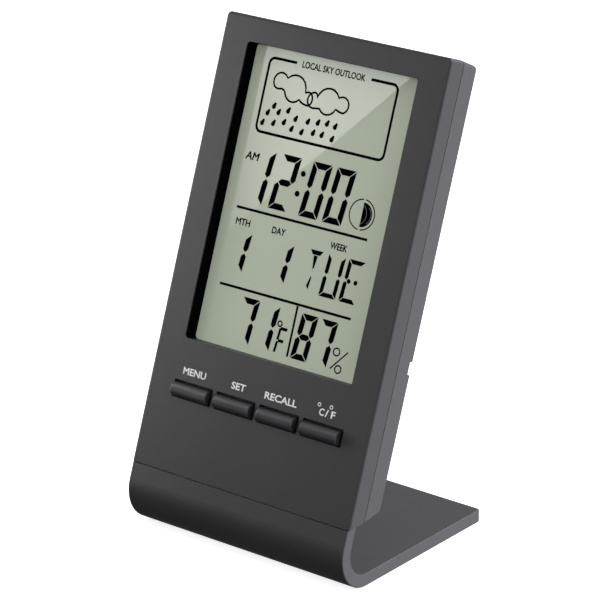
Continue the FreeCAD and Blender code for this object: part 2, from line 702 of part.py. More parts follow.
def make_rear_cover():
    part = new_body("rear_cover")

    def section(name, depth, wall=ZERO, floor=ZERO):
        side = side_at(depth) - wall
        return rectangle(sketch(part, name, "XY_Plane", -depth),
                         -side, side, floor_at(depth) + floor, top_at(depth) - wall)

    loft("AdditiveLoft", part, "Block", section("FrontSection", rear_front),
         section("BackSection", case_depth))

    def top_corner(edge):
        place = middle(edge)
        high = place.y > (g.case_height - g.top_draft).value
        return high and near(abs(place.x), side_at(case_depth / 2 + rear_front / 2), NEARBY)

    def back_edge(edge):
        return all(near(vertex.Z, -case_depth) for vertex in edge.Vertexes)

    ease(part, "TopCorners", g.corner_round, top_corner)
    ease(part, "BackEdges", g.rear_round, back_edge)

    # the side walls are a little thicker than the front shell's, to carry the lip
    wall = g.shell_wall + g.sliding_fit * 2
    loft("SubtractiveLoft", part, "Hollow",
         section("HollowFront", rear_front, wall, floor_wall + g.sliding_fit * 2),
         section("HollowBack", back_inside, wall, floor_wall + g.sliding_fit * 2))

    lip_side = half_width - g.shell_wall - g.sliding_fit
    lip_low = floor_at(g.front_depth) + floor_wall + g.sliding_fit
    lip_top = g.case_height - g.shell_wall - g.sliding_fit
    lip_front = g.front_depth - g.lip_depth
    lip = sketch(part, "LipOutline", "XY_Plane", -lip_front)
    rectangle(lip, -lip_side, lip_side, lip_low, lip_top)
    rectangle(lip, -lip_side + g.lip_wall, lip_side - g.lip_wall, lip_low + g.lip_wall, lip_top - g.lip_wall)
    pad(part, "Lip", lip, rear_front - lip_front + g.lip_wall, reversed=True)
    notches = sketch(part, "LipNotchOutlines", "XY_Plane", -lip_front)
    for across, up in CASE_SCREWS:
        circle(notches, across, up, g.boss_radius + g.sliding_fit * 2)
    pocket(part, "LipNotches", notches, boss_split - lip_front)

    bosses = sketch(part, "BossOutlines", "XY_Plane", -boss_split)
    for across, up in CASE_SCREWS:
        circle(bosses, across, up, g.boss_radius)
    pad(part, "Bosses", bosses, back_inside - boss_split, reversed=True)
    heads = sketch(part, "HeadOutlines", "XY_Plane", -case_depth)
    shanks = sketch(part, "ShankOutlines", "XY_Plane", -case_depth)
    for across, up in CASE_SCREWS:
        circle(heads, across, up, g.screw_head + g.shank_clear)
        circle(shanks, across, up, g.screw_radius + g.shank_clear)
    pocket(part, "HeadSinks", heads, g.head_sink, reversed=True)
    pocket(part, "ShankHoles", shanks, (case_depth - g.front_depth), reversed=True)

    # battery bay: two end walls and a roof behind the board's lower edge
    bay_front = flange_front + g.tongue_thickness + g.guide_wall
    for name, low, high in (("Left", -bay_half - g.bay_wall, -bay_half),
                            ("Right", bay_half, bay_half + g.bay_wall)):
        end = rectangle(sketch(part, name + "EndOutline", "XY_Plane", -bay_front),
                        low, high, lip_low + g.lip_wall / 2, bay_roof)
        pad(part, name + "EndWall", end, board_front - g.door_gap - bay_front, reversed=True)
        behind = rectangle(sketch(part, name + "EndBehindOutline", "XY_Plane", -board_front + g.door_gap),
                           low, high, floor_at(case_depth), bay_roof)
        pad(part, name + "EndBehind", behind, back_inside - board_front + g.door_gap, reversed=True)
    roof_half = plate_face - g.sliding_fit
    roof_front = board_back + g.door_gap
    roof = rectangle(sketch(part, "BayRoofOutline", "XY_Plane", -roof_front),
                     -roof_half, roof_half, bay_roof, door_top + g.door_gap * 2)
    pad(part, "BayRoof", roof, back_inside - roof_front, reversed=True)

    # lugs with bores for the door's pins
    bore = g.pin_radius + g.running_fit
    lug = bore + g.lug_wall
    bore_length = g.pin_length + g.door_gap * 2
    for name, left, right in (("Left", -bay_half - bore_length - g.lug_wall, -bay_half),
                              ("Right", bay_half, bay_half + bore_length + g.lug_wall)):
        block = rectangle(sketch(part, name + "LugOutline", "XY_Plane", -hinge_depth + lug),
                          left, right, hinge_up - lug, hinge_up + lug)
        pad(part, name + "Lug", block, back_inside - hinge_depth + lug, reversed=True)
    opening = rectangle(sketch(part, "DoorOpeningOutline", "XY_Plane", -case_depth),
                        -door_half - g.door_gap, door_half + g.door_gap,
                        door_sill, door_top + g.door_gap)
    pocket(part, "DoorOpening", opening, g.shell_wall, reversed=True)
    for name, start in (("Left", -bay_half - bore_length), ("Right", bay_half - g.door_gap)):
        hole = circle(sketch(part, name + "BoreOutline", "YZ_Plane", start), hinge_up, -hinge_depth, bore)
        pocket(part, name + "Bore", hole, bore_length + g.door_gap, reversed=True)

    # vent channel across the back, open at both sides
    channel_top = g.channel_bottom + g.channel_height
    channel_front = channel_floor - g.shell_wall
    half = side_at(channel_floor) - g.shell_wall / 2
    web = rectangle(sketch(part, "ChannelWebOutline", "XY_Plane", -channel_front),
                    -half, half, g.channel_bottom - g.shell_wall, channel_top + g.shell_wall)
    pad(part, "ChannelWeb", web, back_inside - channel_front, reversed=True)
    channel = rectangle(sketch(part, "ChannelOutline", "XY_Plane", -case_depth),
                        -half_width, half_width, g.channel_bottom, channel_top)
    pocket(part, "Channel", channel, g.channel_depth, reversed=True)
    vents = sketch(part, "VentOutlines", "XY_Plane", -channel_floor)
    vent_low = g.channel_bottom + (g.channel_height - g.vent_height) / 2
    for number in range(VENTS):
        left = g.vent_pitch * (number - (VENTS - 1) / 2) - g.vent_width / 2
        rectangle(vents, left, left + g.vent_width, vent_low, vent_low + g.vent_height)
    pocket(part, "Vents", vents, g.shell_wall, reversed=True)

    # hanging hole and its slot
    hole = circle(sketch(part, "HangerOutline", "XY_Plane", -case_depth), 0, hanger_bottom, g.hanger_radius)
    pocket(part, "HangerHole", hole, g.shell_wall, reversed=True)
    slot_top = hanger_bottom + g.hanger_rise
    slot = rectangle(sketch(part, "HangerSlotOutline", "XY_Plane", -case_depth),
                     -g.hanger_slot / 2, g.hanger_slot / 2, hanger_bottom, slot_top)
    pocket(part, "HangerSlot", slot, g.shell_wall, reversed=True)
    end = circle(sketch(part, "HangerEndOutline", "XY_Plane", -case_depth), 0, slot_top, g.hanger_slot / 2)
    pocket(part, "HangerEnd", end, g.shell_wall, reversed=True)

    # ledge that the buzzer's disc is glued to, and its sound holes
    ledge = sketch(part, "LedgeOutline", "XY_Plane", -ledge_front)
    circle(ledge, 0, buzzer_height, g.buzzer_radius + g.buzzer_rim)
    circle(ledge, 0, buzzer_height, g.buzzer_radius - g.buzzer_rim)
    pad(part, "BuzzerLedge", ledge, g.buzzer_ledge, reversed=True)
    holes = sketch(part, "SoundHoleOutlines", "XY_Plane", -case_depth)
    for number in range(SOUND_HOLES):
        angle = math.tau / SOUND_HOLES * number
        circle(holes, g.sound_circle * math.cos(angle), buzzer_height + g.sound_circle * math.sin(angle),
               g.sound_radius)
    pocket(part, "SoundHoles", holes, g.shell_wall, reversed=True)
    finish(part, "rear_cover")


# ------------------------------------------------------------ battery door
def make_battery_door():
    part = new_body("battery_door")
    inside = back_inside + g.door_clear
    low = hinge_up - g.hinge_inset
    profile = rectangle(sketch(part, "Profile", "YZ_Plane"), low, door_top, -case_depth, -inside)
    pad(part, "Plate", profile, door_half * 2, midplane=True)

    def lower_outer(edge):
        place = middle(edge)
        return runs(edge, 0) and near(place.y, low) and near(place.z, -case_depth)

    ease(part, "HingeEdge", g.hinge_inset, lower_outer)
    for name, start in (("Left", -door_half - g.pin_length), ("Right", door_half - g.pin_length)):
        outline = sketch(part, name + "PinOutline", "YZ_Plane", start)
        pin = circle(outline, hinge_up, -hinge_depth, g.pin_radius)
        pad(part, name + "Pin", pin, g.pin_length * 2)
    slits = sketch(part, "SlitOutlines", "XY_Plane", -case_depth)
    for side in (-1, 1):
        centre = g.latch_width * side / 2
        rectangle(slits, centre - g.latch_slit / 2, centre + g.latch_slit / 2,
                  door_top - g.latch_height, door_top + g.door_gap)
    pocket(part, "Slits", slits, g.shell_wall, reversed=True)
    hollow = rectangle(sketch(part, "ThumbOutline", "XY_Plane", -case_depth),
                       -g.latch_width / 2 + g.thumb_margin, g.latch_width / 2 - g.thumb_margin,
                       door_top - g.latch_height, door_top - g.thumb_margin)
    pocket(part, "ThumbHollow", hollow, g.thumb_depth, reversed=True)
    finish(part, "battery_door")


# ------------------------------------------------------------ buttons and switches
def make_button(name, across):
    part = new_body(name + "_button")
    width = g.slot_width - g.button_side_gap * 2
    high = button_low + g.button_height
    cap = rectangle(sketch(part, "CapProfile", "YZ_Plane"), button_low, high, -flange_front, g.button_proud)
    pad(part, "Cap", cap, width, midplane=True)

    def long_front(edge):
        return runs(edge, 0) and near(middle(edge).z, g.button_proud)

    def end_front(edge):
        place = middle(edge)
        return near(abs(place.x), width / 2) and place.z > (g.button_proud - g.button_crown + NEARBY).value

    ease(part, "Crown", g.button_crown, long_front)
    ease(part, "Ends", g.button_end, end_front)
    flange = rectangle(sketch(part, "FlangeProfile", "YZ_Plane"),
                       button_low - g.flange_margin, high + g.flange_margin,
                       -flange_front - g.flange_thickness, -flange_front)
    pad(part, "Flange", flange, g.slot_width + g.flange_margin, midplane=True)
    stem_front = flange_front + g.flange_thickness
    stem = rectangle(sketch(part, "StemOutline", "XY_Plane", -stem_front),
                     -g.stem_width / 2, g.stem_width / 2,
                     button_middle - g.stem_height / 2, button_middle + g.stem_height / 2)
    pad(part, "Stem", stem, plunger_tip - stem_front, reversed=True)
    finish(part, name + "_button", across=across)

    plunger = rod(name + "_plunger_rod", 0, button_middle, g.plunger_radius,
                  (plunger_tip, plunger_tip + g.plunger_length))
    holder = group(name + "_plunger_placed", [plunger])
    finish(holder, name + "_plunger", across=across)


def make_switches():
    bodies = []
    for number, name in enumerate(BUTTONS):
        across = g.button_pitch * (number - (len(BUTTONS) - 1) / 2)
        make_button(name, across)
        half = g.switch_side / 2
        block = slab(name + "_switch_block", (across - half, across + half),
                     (button_middle - half, button_middle + half), (switch_front, board_front))
        bore_end = plunger_tip + g.plunger_length + g.button_travel + g.sliding_fit
        bore = rod(name + "_switch_bore", across, button_middle, g.plunger_radius + g.sliding_fit,
                   (switch_front - g.sliding_fit, bore_end))
        bodies.append(cut(name + "_switch", block, bore))
    finish(group("switches", bodies), "switch_bodies")


# ------------------------------------------------------------ circuit board
def make_board():
    ear_half = half_width - g.shell_wall - g.ear_gap
    depth = (board_front, board_back)
    plate = slab("board_plate", (-board_half, board_half), (board_bottom, board_top), depth)
    ears = slab("board_ears", (-ear_half, ear_half),
                (window_middle - g.ear_height / 2, window_middle + g.ear_height / 2), depth)
    holes = []
    for number, (across, up) in enumerate(BOARD_SCREWS):
        holes.append(rod("board_hole%d" % number, across, up, g.screw_radius + g.shank_clear,
                         (board_front - g.sliding_fit, board_back + g.sliding_fit)))
    board = cut("board", fused("board_outline", [plate, ears]), fused("board_holes", holes))
    finish(board, "main_circuit_board")


def make_board_components():
    middle_up = (board_bottom + board_top) / 2
    # the resin cap is the top of a large ball
    ball_radius = (g.blob_radius * g.blob_radius + g.blob_height * g.blob_height) / (g.blob_height * 2)
    ball = doc.addObject("Part::Sphere", "blob_ball")
    bind(ball, "Radius", ball_radius)
    bind(ball, "Placement.Base.y", middle_up)
    bind(ball, "Placement.Base.z", -board_back + ball_radius - g.blob_height)
    keep = slab("blob_keep", (-g.blob_radius, g.blob_radius),
                (middle_up - g.blob_radius, middle_up + g.blob_radius),
                (board_back, board_back + g.blob_height))
    blob = doc.addObject("Part::Common", "blob")
    blob.Base = ball
    blob.Tool = keep
    finish(blob, "controller_blob")

    crystal_left = g.blob_radius + g.crystal_gap
    crystal = crossbar("crystal_can", (crystal_left, crystal_left + g.crystal_length), middle_up,
                       board_back + g.crystal_radius, g.crystal_radius)
    finish(group("crystal", [crystal]), "quartz_crystal")

    # two rows of small components above the resin cap, and three capacitors in a column below it
    chips = []
    first_row = middle_up + g.blob_radius + g.chip_pitch
    for number in range(CHIPS):
        left = g.chip_pitch * (number % CHIP_COLUMNS - CHIP_COLUMNS / 2)
        low = first_row + g.chip_pitch * (number // CHIP_COLUMNS)
        chips.append(slab("chip%d" % number, (left, left + g.chip_width), (low, low + g.chip_side),
                          (board_back, board_back + g.chip_height)))
    for number in range(CAPACITORS):
        low = middle_up - g.blob_radius - g.chip_pitch * (number + 1)
        chips.append(slab("capacitor%d" % number, (-g.chip_width, g.chip_width), (low, low + g.chip_side),
                          (board_back, board_back + g.chip_height)))
    finish(group("chips", chips), "chip_components")

    vent_up = g.channel_bottom + g.channel_height / 2
    sensor_back = board_back + g.sensor_depth
    sensor = slab("sensor_case", (g.sensor_left, g.sensor_left + g.sensor_width),
                  (vent_up - g.sensor_height / 2, vent_up + g.sensor_height / 2), (board_back, sensor_back))
    slits = []
    for number in range(SENSOR_SLITS):
        left = g.sensor_left + g.sensor_width / (SENSOR_SLITS + 1) * (number + 1) - g.sensor_slit / 2
        slits.append(slab("sensor_slit%d" % number, (left, left + g.sensor_slit),
                          (vent_up - g.sensor_height / 4, vent_up + g.sensor_height / 4),
                          (sensor_back - g.sensor_depth / 2, sensor_back)))
    finish(cut("sensor", sensor, fused("sensor_slits", slits)), "humidity_sensor")

    bead_front = board_back + g.lead_length
    bead_depth = (bead_front, bead_front + g.bead_length)
    pieces = [rod("bead", -g.bead_left, vent_up, g.bead_radius, bead_depth)]
    for name, shift in (("left", g.lead_spacing / -2), ("right", g.lead_spacing / 2)):
        pieces.append(rod("lead_" + name, shift - g.bead_left, vent_up, g.lead_radius,
                          (board_back, bead_front + g.bead_length / 2)))
    finish(fused("thermistor", pieces), "temperature_thermistor")


# ------------------------------------------------------------ display
def make_display():
    film = glass_half - g.film_margin
    film_low = glass_bottom + g.ledge_height + g.film_margin
    film_top = glass_top - g.film_margin
    layers = (
        ("lcd_polariser", film, film_low, film_top, g.display_depth, glass_front),
        ("lcd_front_glass", glass_half, glass_bottom, glass_top, glass_front, glass_split),
        ("lcd_rear_glass", glass_half, glass_bottom + g.ledge_height, glass_top, glass_split, glass_back),
        ("lcd_reflector", film, film_low, film_top, glass_back, mirror_back),
    )
    for name, side, low, high, front, back in layers:
        sheet_solid = slab(name + "_sheet", (-side, side), (low, high), (front, back))
        finish(group(name + "_placed", [sheet_solid]), name)

    strip_low = glass_bottom + (g.ledge_height - g.strip_height) / 2
    strip_half = glass_half - g.strip_end
    strip = slab("strip", (-strip_half, strip_half), (strip_low, strip_low + g.strip_height),
                 (glass_split, board_front))
    finish(group("strip_placed", [strip]), "zebra_connector")

    outer = slab("spacer_outer", (-film, film), (film_low, film_top), (mirror_back, board_front))
    bar = g.spacer_wall
    inner = slab("spacer_inner", (-film + bar, film - bar), (film_low + bar, film_top - bar),
                 (mirror_back - OVERSHOOT, board_front + OVERSHOOT))
    finish(cut("spacer", outer, inner), "lcd_spacer_frame")


# ------------------------------------------------------------ battery and contacts
def make_battery():
    nub_end = plate_face
    shoulder = nub_end - g.nub_length
    tail = nub_end - g.cell_length
    place = (cell_height, cell_depth)
    can = crossbar("cell_can", (tail, shoulder), *place, g.cell_radius - g.sleeve_wall)
    nub = crossbar("cell_nub", (shoulder, nub_end), *place, g.nub_radius)
    finish(fused("cell", [can, nub]), "battery_cell")
    wrap = (tail + g.sleeve_margin, shoulder - g.sleeve_margin)
    outer = crossbar("sleeve_outer", wrap, *place, g.cell_radius)
    inner = crossbar("sleeve_inner", (wrap[0] - OVERSHOOT, wrap[1] + OVERSHOOT), *place,
                     g.cell_radius - g.sleeve_wall)
    finish(cut("sleeve", outer, inner), "battery_sleeve")

    for name, side in (("negative", -1), ("positive", 1)):
        across = (plate_face, bay_half) if side > 0 else (-bay_half, -plate_face)
        half = g.contact_side / 2
        plate = slab(name + "_plate", across, (cell_height - half, cell_height + half),
                     (cell_depth - half, cell_depth + half))
        tab_low = cell_height + half - g.contact_thickness
        tab = slab(name + "_tab", across, (tab_low, board_bottom + g.tab_reach),
                   (board_back, board_back + g.tab_width))
        finish(fused(name + "_contact_piece", [plate, tab]), name + "_contact")

    coil = make_coil("battery_spring", g.spring_radius, g.spring_wire, g.spring_turns,
                     tail + plate_face, (-plate_face, cell_height, cell_depth), along_x=True)
    finish(coil, "battery_spring")


def make_coil(name, radius, wire, turns, space, start, along_x=False):
    """A coil spring that fills a space, on an axis along X or into the case."""
    turn = Rotation(Vector(0, 1, 0), 90 if along_x else 180)
    across, up, depth = start
    spine = doc.addObject("Part::Helix", name + "_line")
    bind(spine, "Height", space - wire * 2)
    bind(spine, "Pitch", (space - wire * 2) / turns)
    bind(spine, "Radius", radius)
    section = doc.addObject("Part::Circle", name + "_wire")
    bind(section, "Radius", wire)
    shift = Placement(Vector(), turn)
    spine.Placement = shift
    section.Placement = shift * Placement(Vector(radius.value, 0, 0), Rotation(Vector(1, 0, 0), 90))
    if along_x:
        bind(spine, "Placement.Base.x", across + wire)
        bind(section, "Placement.Base.x", across + wire)
        bind(section, "Placement.Base.z", -as_size(depth) - radius)
        bind(spine, "Placement.Base.z", -as_size(depth))
    else:
        bind(spine, "Placement.Base.x", across)
        bind(section, "Placement.Base.x", across - radius)
        bind(section, "Placement.Base.z", -as_size(depth) - wire)
        bind(spine, "Placement.Base.z", -as_size(depth) - wire)
    bind(spine, "Placement.Base.y", up)
    bind(section, "Placement.Base.y", up)
    doc.recompute()
    coil = doc.addObject("Part::Sweep", name + "_coil")
    coil.Sections = [section]
    coil.Spine = (spine, ["Edge1"])
    coil.Solid = True
    coil.Frenet = True
    return group(name + "_placed", [coil])


# ------------------------------------------------------------ buzzer
def make_buzzer():
    disc_front = ledge_front - g.buzzer_thickness
    ceramic_front = disc_front - g.buzzer_thickness
    disc = rod("disc", 0, buzzer_height, g.buzzer_radius, (disc_front, ledge_front))
    finish(group("disc_placed", [disc]), "buzzer_disc")
    ceramic = rod("ceramic", 0, buzzer_height, g.ceramic_radius, (ceramic_front, disc_front))
    finish(group("ceramic_placed", [ceramic]), "buzzer_ceramic")
    edge = (g.buzzer_radius + g.ceramic_radius) / 2
    springs = []
    for name, across, end in (("inner", ZERO, ceramic_front), ("outer", edge, disc_front)):
        springs.append(make_coil("buzzer_%s_spring" % name, g.coil_radius, g.coil_wire, g.coil_turns,
                                 end - board_back, (across, buzzer_height, board_back)))
    finish(group("buzzer_springs_placed", springs), "buzzer_springs")


# ------------------------------------------------------------ screws
def screw(name, across, up, seat, length):
    """A pan-headed screw put in from the back, its head standing on the seat."""
    head = rod(name + "_head", across, up, g.screw_head, (seat, seat + g.head_height))
    shank = rod(name + "_shank", across, up, g.screw_radius, (seat - length, seat))
    top = seat + g.head_height
    arm = g.recess_width / 2
    reach = g.recess_reach
    depth = (top - g.recess_depth, top + OVERSHOOT)
    cross = fused(name + "_cross", [
        slab(name + "_arm_across", (across - reach, across + reach), (up - arm, up + arm), depth),
        slab(name + "_arm_up", (across - arm, across + arm), (up - reach, up + reach), depth),
    ])
    return cut(name, fused(name + "_blank", [head, shank]), cross)


def make_screws():
    for node, places, seat, length in (
            ("case_screws", CASE_SCREWS, head_seat, g.case_screw_length),
            ("board_screws", BOARD_SCREWS, board_back, g.board_screw_length)):
        screws = []
        for number, (across, up) in enumerate(places):
            screws.append(screw("%s_%d" % (node, number), across, up, seat, length))
        finish(group(node + "_placed", screws), node)


make_stand()
make_front_bezel()
make_rear_cover()
make_battery_door()
make_switches()
make_board()
make_board_components()
make_display()
make_battery()
make_buzzer()
make_screws()
doc.recompute()

for item in doc.Objects:
    if "Invalid" in item.State or "Error" in item.State:
        raise ValueError("%s did not recompute: %s" % (item.Name, item.State))
for node in NODES:
    if node.Shape.isNull() or not node.Shape.isValid():
        raise ValueError("%s has no valid solid" % node.Label)

os.makedirs("parts", exist_ok=True)
for node in NODES:
    node.Shape.exportStep("parts/%s.step" % node.Label)
    print("%-24s %d solid(s) %9.1f mm3" % (node.Label, len(node.Shape.Solids), node.Shape.Volume))
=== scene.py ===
import json
import math

import bmesh
import bpy
from mathutils import Matrix, Vector


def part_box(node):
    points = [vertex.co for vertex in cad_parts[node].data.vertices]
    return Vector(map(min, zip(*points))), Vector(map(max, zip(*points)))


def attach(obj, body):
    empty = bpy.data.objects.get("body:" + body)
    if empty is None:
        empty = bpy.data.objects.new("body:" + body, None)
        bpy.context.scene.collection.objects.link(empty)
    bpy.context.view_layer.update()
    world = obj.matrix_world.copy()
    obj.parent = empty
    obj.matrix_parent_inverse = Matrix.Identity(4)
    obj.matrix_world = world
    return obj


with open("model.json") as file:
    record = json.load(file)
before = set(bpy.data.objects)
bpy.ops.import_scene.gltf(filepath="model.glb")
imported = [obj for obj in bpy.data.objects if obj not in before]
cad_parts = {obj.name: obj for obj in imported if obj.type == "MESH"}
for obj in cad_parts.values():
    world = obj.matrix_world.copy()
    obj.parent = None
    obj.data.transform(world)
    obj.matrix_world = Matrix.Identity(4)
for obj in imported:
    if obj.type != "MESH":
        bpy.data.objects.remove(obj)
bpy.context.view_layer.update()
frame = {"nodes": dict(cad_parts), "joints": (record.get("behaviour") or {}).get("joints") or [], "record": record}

# A home weather station: a flat black case with a grey-green liquid crystal display, on a bent stand.
# Pieces on the case are drawn in millimetres on the front panel: x across it, y up it from the seam
# with the stand, z out of it. place() then puts them on the case.
MM = 0.001
bpy.context.scene.view_settings.view_transform = "Standard"


# ------------------------------------------------------------ the front panel
def panel_frame():
    """The panel's own frame: its origin is in the middle of the seam, on the front face."""
    joints = {joint["name"]: joint for joint in frame["joints"]}
    up = Vector(joints["case_lift"]["axis"]).normalized()
    out = -Vector(joints["mode_press"]["axis"]).normalized()
    face = max(out.dot(v.co) for v in frame["nodes"]["front_bezel"].data.vertices)
    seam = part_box("front_bezel")[0].z
    origin = Vector((0, (face - out.z * seam) / out.y, seam))
    turn = Matrix((Vector((1, 0, 0)), up, out)).transposed().to_4x4()
    return Matrix.Translation(origin) @ turn


PANEL = panel_frame()
TO_WORLD = PANEL @ Matrix.Scale(MM, 4)
TO_PANEL = TO_WORLD.inverted()


def panel_box(node):
    """Lowest and highest corner of a CAD node in the panel's frame, in millimetres."""
    spots = [TO_PANEL @ v.co for v in frame["nodes"][node].data.vertices]
    low = Vector([min(s[i] for s in spots) for i in range(3)])
    high = Vector([max(s[i] for s in spots) for i in range(3)])
    return low, high


SCREEN_LOW, SCREEN_HIGH = panel_box("lcd_polariser")


# ------------------------------------------------------------ shader maths
class Value:
    """A number or a colour on its way through a material. Python's operators add Math nodes."""

    def __init__(self, paint, socket):
        self.paint, self.socket = paint, socket

    def __add__(self, other):
        return self.paint.maths("ADD", self, other)

    def __rsub__(self, other):
        return self.paint.maths("SUBTRACT", other, self)

    def __mul__(self, other):
        return self.paint.maths("MULTIPLY", self, other)

    def __gt__(self, other):
        return self.paint.maths("GREATER_THAN", self, other)

    def __lt__(self, other):
        return self.paint.maths("LESS_THAN", self, other)

    def clamp(self):
        return self.paint.node("ShaderNodeClamp", {}, [self])


class Paint:
    """A material, or the studio's light, made of nodes."""

    def __init__(self, name, holder=None):
        self.material = holder or bpy.data.materials.new(name)
        self.material.use_nodes = True
        self.tree = self.material.node_tree
        self.shader = self.tree.nodes.get("Principled BSDF")

    def node(self, kind, settings, feeds, out=0):
        """Add a node: its settings first, then numbers or links for its sockets."""
        made = self.tree.nodes.new(kind)
        for key, setting in settings.items():
            if key == "stops":
                ramp = made.color_ramp.elements
                while len(ramp) < len(setting):
                    ramp.new(1.0)
                for stop, (at, colour) in zip(ramp, setting):
                    stop.position = at
                    stop.color = (*colour, 1)
            else:
                setattr(made, key, setting)
        pairs = feeds.items() if isinstance(feeds, dict) else enumerate(feeds)
        for key, feed in pairs:
            self.feed(made.inputs[key], feed)
        return Value(self, made.outputs[out])

    def feed(self, socket, feed):
        if isinstance(feed, Value):
            self.tree.links.new(feed.socket, socket)
        else:
            socket.default_value = feed

    def maths(self, operation, *feeds):
        return self.node("ShaderNodeMath", {"operation": operation}, feeds)

    def mix(self, factor, first, second):
        """Blend two colours."""
        first, second = ((*c, 1) if isinstance(c, tuple) else c for c in (first, second))
        made = self.tree.nodes.new("ShaderNodeMix")
        made.data_type = "RGBA"
        for key, feed in (("Factor", factor), (6, first), (7, second)):
            self.feed(made.inputs[key], feed)
        return Value(self, made.outputs[2])

    def spot(self, kind="Object"):
        """Where a point is on the object, in metres. "Generated" in the world is a ray's direction."""
        return self.node("ShaderNodeTexCoord", {}, [], kind)

    def on_panel(self):
        """Where a point is on the front panel, in metres: x across, y up the panel, z out of it."""
        turn = PANEL.inverted()
        return self.node("ShaderNodeMapping", {"vector_type": "POINT"},
                         {"Vector": self.spot(), "Location": turn.translation,
                          "Rotation": turn.to_euler("XYZ")})

    def split(self, vector, axis):
        return self.node("ShaderNodeSeparateXYZ", {}, [vector], axis)

    def noise(self, size, detail=2.0, stretch=None):
        """Even noise from 0 to 1 whose blots are about size metres across."""
        where = self.spot()
        if stretch:
            where = self.node("ShaderNodeMapping", {}, {"Vector": where, "Scale": stretch})
        return self.node("ShaderNodeTexNoise", {},
                         {"Vector": where, "Scale": 1 / size, "Detail": detail, "Roughness": 0.55})

    def cells(self, size):
        """Distance to the nearest of scattered points about size metres apart, from 0 to about 1."""
        return self.node("ShaderNodeTexVoronoi", {}, {"Vector": self.spot(), "Scale": 1 / size})

    def steps(self, value, low, high):
        """0 below low, 1 above high."""
        return self.node("ShaderNodeMapRange", {"clamp": True}, [value, low, high])

    def finish(self, colour, roughness, height=None, depth=0.0, metal=0.0, **fixed):
        """Feed the shader. What doesn't vary is set on its own sockets."""
        self.feed(self.shader.inputs["Base Color"], (*colour, 1) if isinstance(colour, tuple) else colour)
        self.feed(self.shader.inputs["Roughness"], roughness)
        self.feed(self.shader.inputs["Metallic"], metal)
        if height is not None:
            bump = self.node("ShaderNodeBump", {}, {"Strength": 1.0, "Distance": depth, "Height": height})
            self.feed(self.shader.inputs["Normal"], bump)
        for name, number in fixed.items():
            self.shader.inputs[name.replace("_", " ").title().replace("Ior", "IOR")].default_value = number
        return self.material


def shade(colour, times):
    return tuple(channel * times for channel in colour)


# ------------------------------------------------------------ finishes
def moulded(name, colour, grain=0.32 * MM, relief=0.022 * MM, rough=0.52, sheen=0.5):
    """Moulded plastic with the fine texture of a spark-eroded tool, and faint flow marks."""
    paint = Paint(name)
    fine = paint.noise(grain, 1.5)
    pits = paint.cells(grain * 1.7)
    flow = paint.noise(22 * MM, 3.0, stretch=(1, 1, 0.35))
    scuff = paint.steps(paint.noise(5 * MM, 5.0), 0.55, 0.8)
    tone = fine * 0.45 + flow * 0.4 + pits * 0.2
    tint = paint.mix(tone.clamp(), shade(colour, 0.72), shade(colour, 1.32))
    height = fine * 0.65 + pits * 0.5
    rougher = flow * 0.10 + fine * 0.05 + scuff * 0.05 + (rough - 0.08)
    return paint.finish(tint, rougher, height, relief, specular_ior_level=sheen)


def polished(name, colour, rough, sheen=0.5):
    """Smooth moulded plastic with the faint ripple of a polished tool."""
    paint = Paint(name)
    ripple = paint.noise(1.6 * MM, 2.0)
    dust = paint.steps(paint.noise(0.25 * MM, 1.0), 0.66, 0.74)
    tint = paint.mix(ripple, shade(colour, 0.85), shade(colour, 1.15))
    return paint.finish(tint, ripple * 0.06 + dust * 0.12 + rough, ripple, 0.01 * MM,
                        specular_ior_level=sheen)


def metal(name, colour, rough, brush=(1, 1, 1), size=0.3 * MM):
    """Metal with drawing or rolling lines, and a few dull blots."""
    paint = Paint(name)
    lines = paint.noise(size, 3.0, stretch=brush)
    blots = paint.steps(paint.noise(2.4 * MM, 4.0), 0.5, 0.75)
    tint = paint.mix(lines * 0.7 + blots * 0.3, shade(colour, 1.08), shade(colour, 0.72))
    return paint.finish(tint, lines * 0.18 + blots * 0.15 + (rough - 0.1), lines, 0.004 * MM, metal=1.0)


def film_finish():
    """The display's grey-green reflective film: a faint cloudiness and grain under a clear gloss."""
    paint = Paint("display_film")
    where = paint.on_panel()
    cloud = paint.noise(26 * MM, 2.0)
    grain = paint.noise(0.12 * MM, 1.0)
    # the tint grows a little lighter towards the top of the display
    height = paint.split(where, 1)
    rise = paint.steps(height, SCREEN_LOW.y * MM, SCREEN_HIGH.y * MM)
    low = (0.515, 0.580, 0.445)
    high = (0.545, 0.610, 0.475)
    tint = paint.mix(rise * 0.5 + cloud * 0.5, low, high)
    tint = paint.mix(grain * 0.35, tint, shade(high, 1.12))
    return paint.finish(tint, grain * 0.06 + 0.42, grain, 0.001 * MM,
                        coat_weight=1.0, coat_roughness=0.015, specular_ior_level=0.25)


def ink_finish(name, colour, rough=0.6, sheen=0.25):
    """Printed or liquid crystal ink, a little uneven."""
    paint = Paint(name)
    speck = paint.noise(0.09 * MM, 2.0)
    patch = paint.noise(2.2 * MM, 2.0)
    tint = paint.mix(speck * 0.5 + patch * 0.5, shade(colour, 0.86), shade(colour, 1.14))
    return paint.finish(tint, speck * 0.12 + (rough - 0.06), speck, 0.002 * MM, specular_ior_level=sheen)


